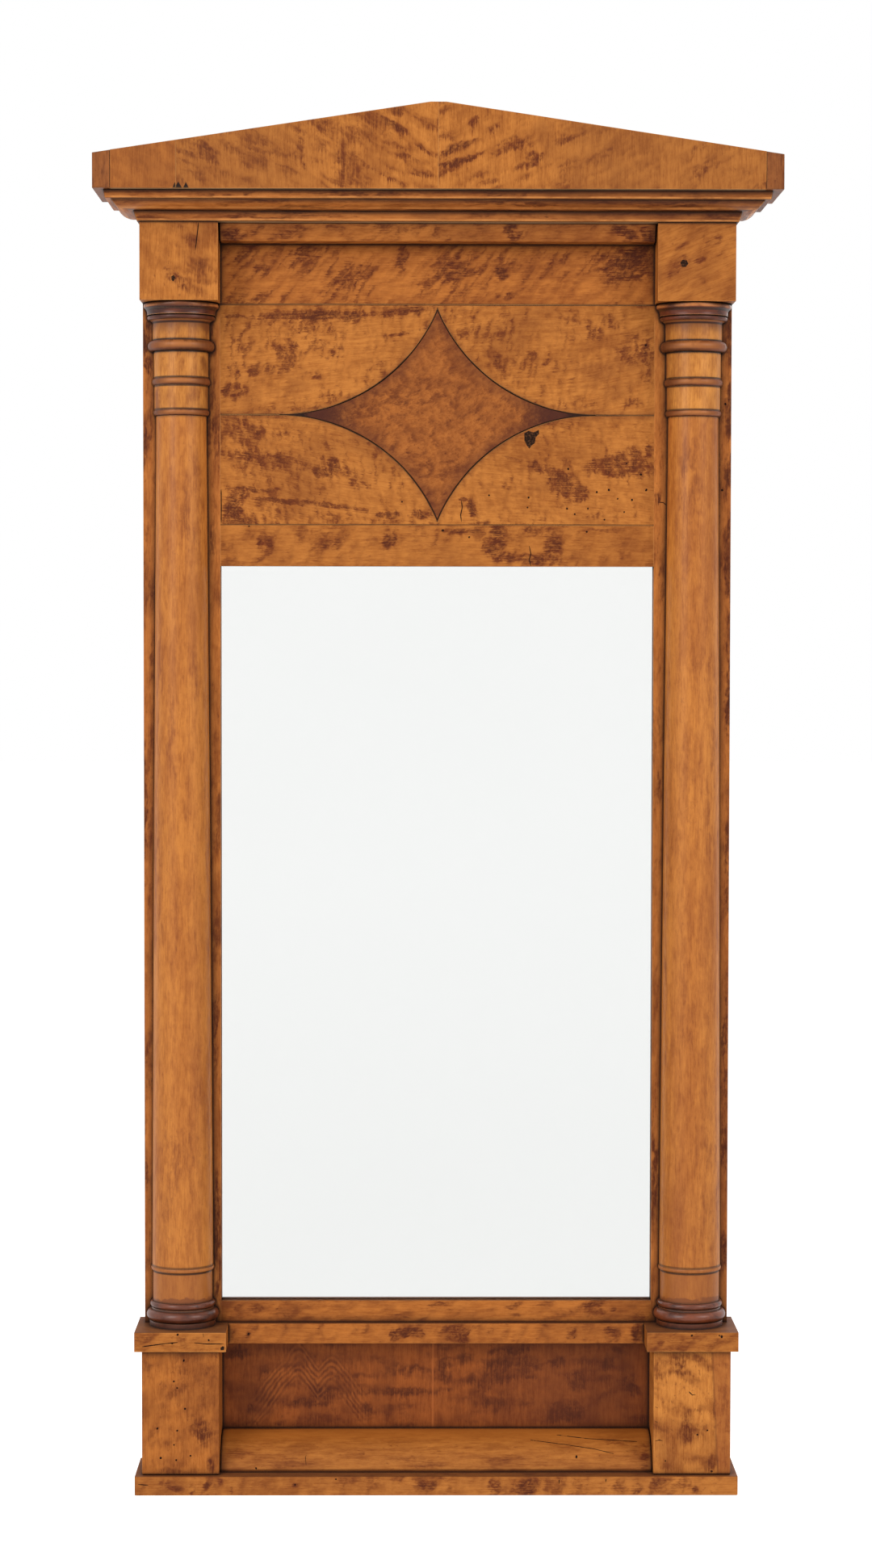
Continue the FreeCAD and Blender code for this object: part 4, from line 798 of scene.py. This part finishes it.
birch(["panel_leaf_lower"], "leaf_lower_wood", -4, 10, tones=GOLD, curl=0.035, extra=star_seam,
      figure=(97, 0.0052, 0.34, 0.29, 0.9), lines=[("z", LEAF_JOINT, 0.0005, 1), ("z", RAIL_TOP, 0.0008, 1)])
birch(["star_inlay"], "star_burl", 25, 11, tones=STAR, figure=(30, 0.008, 0.85, 0.46, 0.6),
      extra=dark_tips, speck=0.85, wear=0.0, rim=True, curl=0.05, burl=5.0, smoke=0.5)

# Rails, stiles, columns and pedestals
birch(["head_rail"], "head_rail_wood", 0, 12, figure=(60, 0.01, 0.5, 0.26, 0.6),
      lines=[("z", RAIL_TOP, 0.0005, 0.9)])
birch(["lower_rail"], "lower_rail_wood", 0, 13, tones=AMBER, smoke=0.6, figure=(20, 0.009, 0.4, 0.3, 0.6))
birch(["base_strip"], "base_strip_wood", 0, 14, tones=AMBER, figure=(60, 0.01, 0.5, 0.14, 0.7))
NECK_BANDS = [(NECK_FOOT + low * MM, NECK_FOOT + high * MM)
              for low, high in ((-0.4, 6), (27.1, 34.6), (57.9, 68.2), (83.8, 87))]
for side, seed, slant, base, pedestal, repair in (("left", 15, 25, BASE_LEFT, AMBER, None),
                                                  ("right", 16, -25, BASE_RIGHT, CREAM, old_repair)):
    birch(["stile_" + side], "stile_" + side, 90, seed, tones=STILE, figure=(84, 0.009, 0.16, 0.4, 0.8))
    birch(["column_shaft_" + side], "shaft_" + side, 90, seed + 2, tones=SHAFT, gloss=0.35, speck=0.3,
          smoke=0.15, extra=foot_stain, figure=(88, 0.007, 0.1, 0.06, 0.4))
    birch(["column_neck_" + side], "neck_" + side, 90, seed + 4, tones=NECK, gloss=0.3, smoke=0.2,
          extra=inner_shade, bands=NECK_BANDS, figure=(80, 0.01, 0.4, 0.22, 0.5))
    turned = {"speck": 0.0, "wear": 0.75, "dust": 0.3, "smoke": 0.2}
    birch(["column_capital_" + side], "dark_capital_" + side, 0, seed + 6, tones=TURNED, gloss=0.6,
          rim=True, extra=worn_crown, **turned)
    birch(["column_base_" + side], "dark_base_" + side, 0, seed + 6.5, tones=base, gloss=1.0, **turned)
    birch(["pedestal_" + side], "pedestal_" + side, 90, seed + 8, tones=pedestal, extra=repair,
          figure=(slant, 0.014, 0.5, 0.22, 0.5))
    birch(["pedestal_cap_" + side], "cap_" + side, 0, seed + 10, figure=(30, 0.01, 0.4, 0.2, 0.55))

# Base
birch(["base_panel"], "base_panel_wood", 90, 30, tones=PANEL, extra=arches, speck=0.4,
      figure=(2, 0.012, 0.3, 0.35, 0.6), stain=0.65)
birch(["base_moulding"], "base_moulding_wood", 0, 31, extra=amber_top, dust=0.0,
      figure=(3, 0.008, 0.15, 0.22, 0.5))
birch(["plinth_board"], "plinth_wood", 0, 32, figure=(70, 0.01, 0.5, 0.3, 0.65))

# Back, hangers and plate
BACKBOARDS = ("backboard_lower", "backboard_middle", "backboard_upper")
for number, name in enumerate(BACKBOARDS):
    dress([name], pine("pine_" + name, 0, 40 + number))
dress(["frieze_rail", "panel_core", "cornice_core", "pediment_board"], pine("pine_rails", 0, 50))
dress(["glue_blocks", "glass_slips"], pine("pine_blocks", 0, 51))
dress(["tenon_pegs"], pine("peg_wood", 90, 52))
dress([name for name in NODES if name.startswith("hanger_") or name == "backboard_nails"],
      iron("old_iron", linear(74, 70, 66), linear(104, 62, 38)))
dress(["mirror_glass"], plate_glass())
dress(["mirror_silvering"], tin_silvering())

# The plate stands a hair clear of its silvering, so that the two faces don't coincide
hair = NODES["mirror_glass"].modifiers.new("hair", "DISPLACE")
hair.strength = -0.05 * MM
hair.mid_level = 0.0

# Eased arrises on the flat work: width in metres, and what the pieces' names start with
EASED = {0.0005: BACKBOARDS, 0.0006: ("bed_fascia", "ovolo", "crown_fillet", "glue_blocks"),
         0.0007: ("base_strip", "stile"), 0.0008: ("frieze_strip",), 0.0009: ("corner_block",),
         0.0011: ("pedestal",), 0.0012: ("plinth", "pediment_side")}
EASED_ANGLE = 38


def ease(item, width):
    weld = item.modifiers.new("weld", "WELD")
    weld.merge_threshold = 0.01 * MM
    bevel = item.modifiers.new("bevel", "BEVEL")
    bevel.width = width
    bevel.segments = 2
    bevel.limit_method = "ANGLE"
    bevel.angle_limit = math.radians(EASED_ANGLE)
    bevel.harden_normals = True


for width, starts in EASED.items():
    for name, item in NODES.items():
        if name.startswith(starts):
            ease(item, width)


# Worm holes, cracks and chips: thin dark prisms let into the wood, x and z in millimetres. The holes and
# cracks are painted shade and grime, not hollows.
HOLES = {
    "panel_leaf_lower": [
        (-32, 900), (119, 930), (172, 935), (185, 925), (145, 909), (156, 911), (190, 911), (164, 903),
        (177, 902), (83, 904), (47, 906), (82, 895), (118, 894), (137, 894), (125, 889), (170, 891),
        (152, 884)],
    "panel_leaf_upper": [(189, 1042)],
    "head_rail": [(-171, 877.6), (5, 874), (136, 873), (29, 868)],
    "stile_right": [(261.6, 989), (259, 911)],
    "pedestal_left": [
        (-229, 122), (-238, 103), (-235, 97), (-228, 78), (-253, 60), (-235, 58), (-238, 45), (-223, 35),
        (-250, 33), (-236, 31)],
    "pedestal_right": [(246, 58), (237, 54), (208, 30), (250, 20.5)],
    "pedestal_cap_left": [(-234, 147), (-239, 139), (-206, 142)],
    "pedestal_cap_right": [(231, 146), (256, 146), (258, 145)],
    "plinth_board": [(-128, 10), (-91, 15)],
    "base_strip": [(-172, 139)],
    "base_moulding": [(-164, 21), (128, 30)],
}
CRACKS = {
    "head_rail": [[(83.7, 860), (85.2, 853), (83.7, 848), (85.2, 842)]],
    "panel_leaf_lower": [
        [(21.9, 901), (22.7, 895), (21.2, 888), (22, 882)], [(-196.3, 911), (-196.2, 897), (-196.3, 881)]],
    "stile_right": [[(201, 900), (205.5, 899.6), (209, 896.7)]],
    "corner_block_left": [[(-214, 1147), (-215.1, 1138), (-216.9, 1122.7)]],
    "pedestal_right": [
        [(229, 93.5), (232, 90.5), (235, 90.5)], [(198.6, 79.4), (200.8, 78.7)],
        [(198.6, 66.1), (200.8, 65.4)], [(198.7, 48.4), (202.4, 49.1), (205.3, 48.4)]],
    "pedestal_cap_left": [
        [(-211.1, 148), (-210.7, 145)], [(-219, 139.6), (-208, 138.5), (-192.5, 138.5)],
        [(-266, 136), (-248, 138.5), (-234, 140)]],
    "plinth_board": [
        [(154, 16.6), (153.4, 12.2)], [(111.2, 16.6), (111.3, 10.8)], [(-270, 10.3), (-261, 9.6)]],
    "base_moulding": [
        [(-118, 33), (-119.2, 29.6), (-118.5, 23.6)], [(86.5, 42), (118, 39), (144, 36), (162, 32.4)],
        [(111, 45), (140, 42.8), (184, 41)]],
}
CHIPS = {
    "panel_leaf_lower": [
        [(79, 962.3), (82.7, 964.5), (87.1, 963), (92.2, 965.2), (92.3, 961.6), (89.3, 958.6),
         (88.6, 953.5), (85.7, 951.3), (83.5, 948.4), (81.3, 951.3), (79.1, 955.7)]],
    "pedestal_cap_left": [[(-195.4, 134.8), (-193.5, 136.5), (-192, 136), (-192.2, 133), (-195.1, 132.8)]],
    "corner_block_right": [
        [(216.8, 1112.2), (219, 1115.1), (222.6, 1114.4), (224, 1111.5), (221.9, 1108.6), (218.3, 1108.6)]],
    "corner_block_left": [
        [(-238.6, 1098.9), (-236, 1100.4), (-234.6, 1097.5), (-236.8, 1094.6), (-238.2, 1096.1)]],
}
PROUD = 0.04 * MM
SUNK = 0.3 * MM
HOLE_SIDES = 9
HOLE_RADII = (0.75, 1.15)
CRACK_STEP = 4
CRACK_HALF = 0.42
CRACK_END = 0.16
MOULDING_CRACK = 0.22
chance = random.Random(7)


def on_face(node, x, z):
    """Where a line of sight along Y first meets the node; x and z are in millimetres."""
    found, spot = NODES[node].ray_cast(Vector((x * MM, -1, z * MM)), Vector((0, 1, 0)))[:2]
    if not found:
        raise ValueError("no face of %s at %.1f, %.1f" % (node, x, z))
    return spot


def add_prism(bm, node, outline):
    front, back = [], []
    for x, z in outline:
        spot = on_face(node, x, z)
        front.append(bm.verts.new(spot - Vector((0, PROUD, 0))))
        back.append(bm.verts.new(spot + Vector((0, SUNK, 0))))
    bm.faces.new(front)
    bm.faces.new(back[::-1])
    for i in range(len(front)):
        j = (i + 1) % len(front)
        bm.faces.new((front[j], front[i], back[i], back[j]))


def add_hole(bm, node, x, z):
    """A hole that is nearly round, leaning by chance."""
    wide = chance.uniform(*HOLE_RADII)
    high = wide * chance.uniform(0.8, 1.3)
    lean = chance.uniform(0, math.pi)
    cos, sin = math.cos(lean), math.sin(lean)
    ring = []
    for step in range(HOLE_SIDES):
        angle = 2 * math.pi * step / HOLE_SIDES
        a = wide * math.cos(angle) * chance.uniform(0.85, 1.1)
        b = high * math.sin(angle)
        ring.append((x + a * cos - b * sin, z + a * sin + b * cos))
    add_prism(bm, node, ring)


def in_steps(path, step):
    """The same path with points no further apart than the step."""
    points = [path[0]]
    for start, end in zip(path, path[1:]):
        count = math.ceil(math.dist(start, end) / step)
        points += [tuple(Vector(start).lerp(Vector(end), i / count)) for i in range(1, count + 1)]
    return points


def add_crack(bm, node, path, widest):
    """A crack with narrow ends, whose edges waver by chance."""
    path = in_steps(path, CRACK_STEP)
    last = len(path) - 1
    near, far = [], []
    for number, (x, z) in enumerate(path):
        before = Vector(path[max(number - 1, 0)])
        after = Vector(path[min(number + 1, last)])
        half = (widest if 0 < number < last else CRACK_END) * chance.uniform(0.8, 1.2)
        across = (after - before).normalized().orthogonal() * half
        near.append((x + across.x, z + across.y))
        far.append((x - across.x, z - across.y))
    for i in range(last):
        add_prism(bm, node, [near[i], near[i + 1], far[i + 1], far[i]])


def damage(name, dark, pale):
    g = Finish(name)
    grit = g.noise(g.place(), 600, 3, 0.7)
    g.bump(grit, 0.4, 0.4 * MM)
    return g.surface({"Base Color": g.mix(g.ramp(grit, 0.45, 0.7), dark, pale), "Roughness": 0.9,
                      "Specular IOR Level": 0.1})


def finish_marks(name, bm, material):
    bmesh.ops.recalc_face_normals(bm, faces=bm.faces)
    mesh = bpy.data.meshes.new(name)
    bm.to_mesh(mesh)
    bm.free()
    mesh.materials.append(material)
    piece = bpy.data.objects.new(name, mesh)
    scene.collection.objects.link(piece)
    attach(piece, "frame")


holes = bmesh.new()
for node, places in HOLES.items():
    for x, z in places:
        add_hole(holes, node, x, z)
finish_marks("worm_holes", holes, damage("hole_shade", linear(24, 13, 8), linear(58, 30, 18)))

cracks = bmesh.new()
for node, paths in CRACKS.items():
    for path in paths:
        add_crack(cracks, node, path, MOULDING_CRACK if node == "base_moulding" else CRACK_HALF)
finish_marks("fine_cracks", cracks, damage("crack_shade", linear(30, 15, 9), linear(66, 34, 20)))

chips = bmesh.new()
for node, outlines in CHIPS.items():
    for outline in outlines:
        add_prism(chips, node, outline)
finish_marks("small_chips", chips, damage("chip_shade", linear(34, 20, 13), linear(92, 58, 36)))

# Lights, world and floor
AIM = Vector((0, 0, 0.65))


def soft_box(name, place, size, power):
    data = bpy.data.lights.new(name, "AREA")
    data.shape = "RECTANGLE"
    data.size, data.size_y = size
    data.energy = power
    item = bpy.data.objects.new(name, data)
    scene.collection.objects.link(item)
    item.location = place
    item.rotation_euler = (AIM - Vector(place)).to_track_quat("-Z", "Y").to_euler()
    item.visible_camera = False
    item.visible_transmission = False


soft_box("key", (-2.1, -2.6, 2.2), (1.6, 2.6), 62)
soft_box("fill", (2.5, -2.4, 2.2), (1.6, 1.6), 45)
soft_box("back", (0.6, 2.6, 2.0), (2.0, 2.0), 40)

WORLD_LIGHT = 0.67
FLOOR_GLOW = 0.47


def paint_world():
    """Pale light, which rays that show the background see as white."""
    world = bpy.data.worlds.new("world")
    scene.world = world
    world.use_nodes = True
    g = Graph(world.node_tree)
    sight = g.node("ShaderNodeLightPath").outputs
    seen = g.math("MAXIMUM", sight["Is Camera Ray"], sight["Is Glossy Ray"])
    seen = g.math("MAXIMUM", seen, sight["Is Transmission Ray"])
    g.feed(g.tree.nodes["Background"].inputs["Color"], g.mix(seen, grey(WORLD_LIGHT), grey(1)))


def floor_paint():
    """A pale matt floor, white in the plate and nearly white to the camera."""
    g = Finish("floor_paint")
    sight = g.node("ShaderNodeLightPath").outputs
    mirrored = g.math("MAXIMUM", sight["Is Glossy Ray"], sight["Is Transmission Ray"])
    paint = g.mix(g.noise(g.place(), 3, 3), grey(0.88), grey(0.92))
    glow = g.math("MAXIMUM", mirrored, g.times(sight["Is Camera Ray"], FLOOR_GLOW))
    return g.surface({"Base Color": g.mix(mirrored, paint, grey(0)), "Roughness": 1.0,
                      "Specular IOR Level": 0.0, "Emission Color": grey(1), "Emission Strength": glow})


FLOOR = -0.45
REACH = 30
paint_world()
mesh = bpy.data.meshes.new("floor")
corners = [(REACH * x, REACH * y, FLOOR) for x, y in ((-1, -1), (1, -1), (1, 1), (-1, 1))]
mesh.from_pydata(corners, [], [(0, 1, 2, 3)])
mesh.materials.append(floor_paint())
floor = bpy.data.objects.new("floor", mesh)
scene.collection.objects.link(floor)
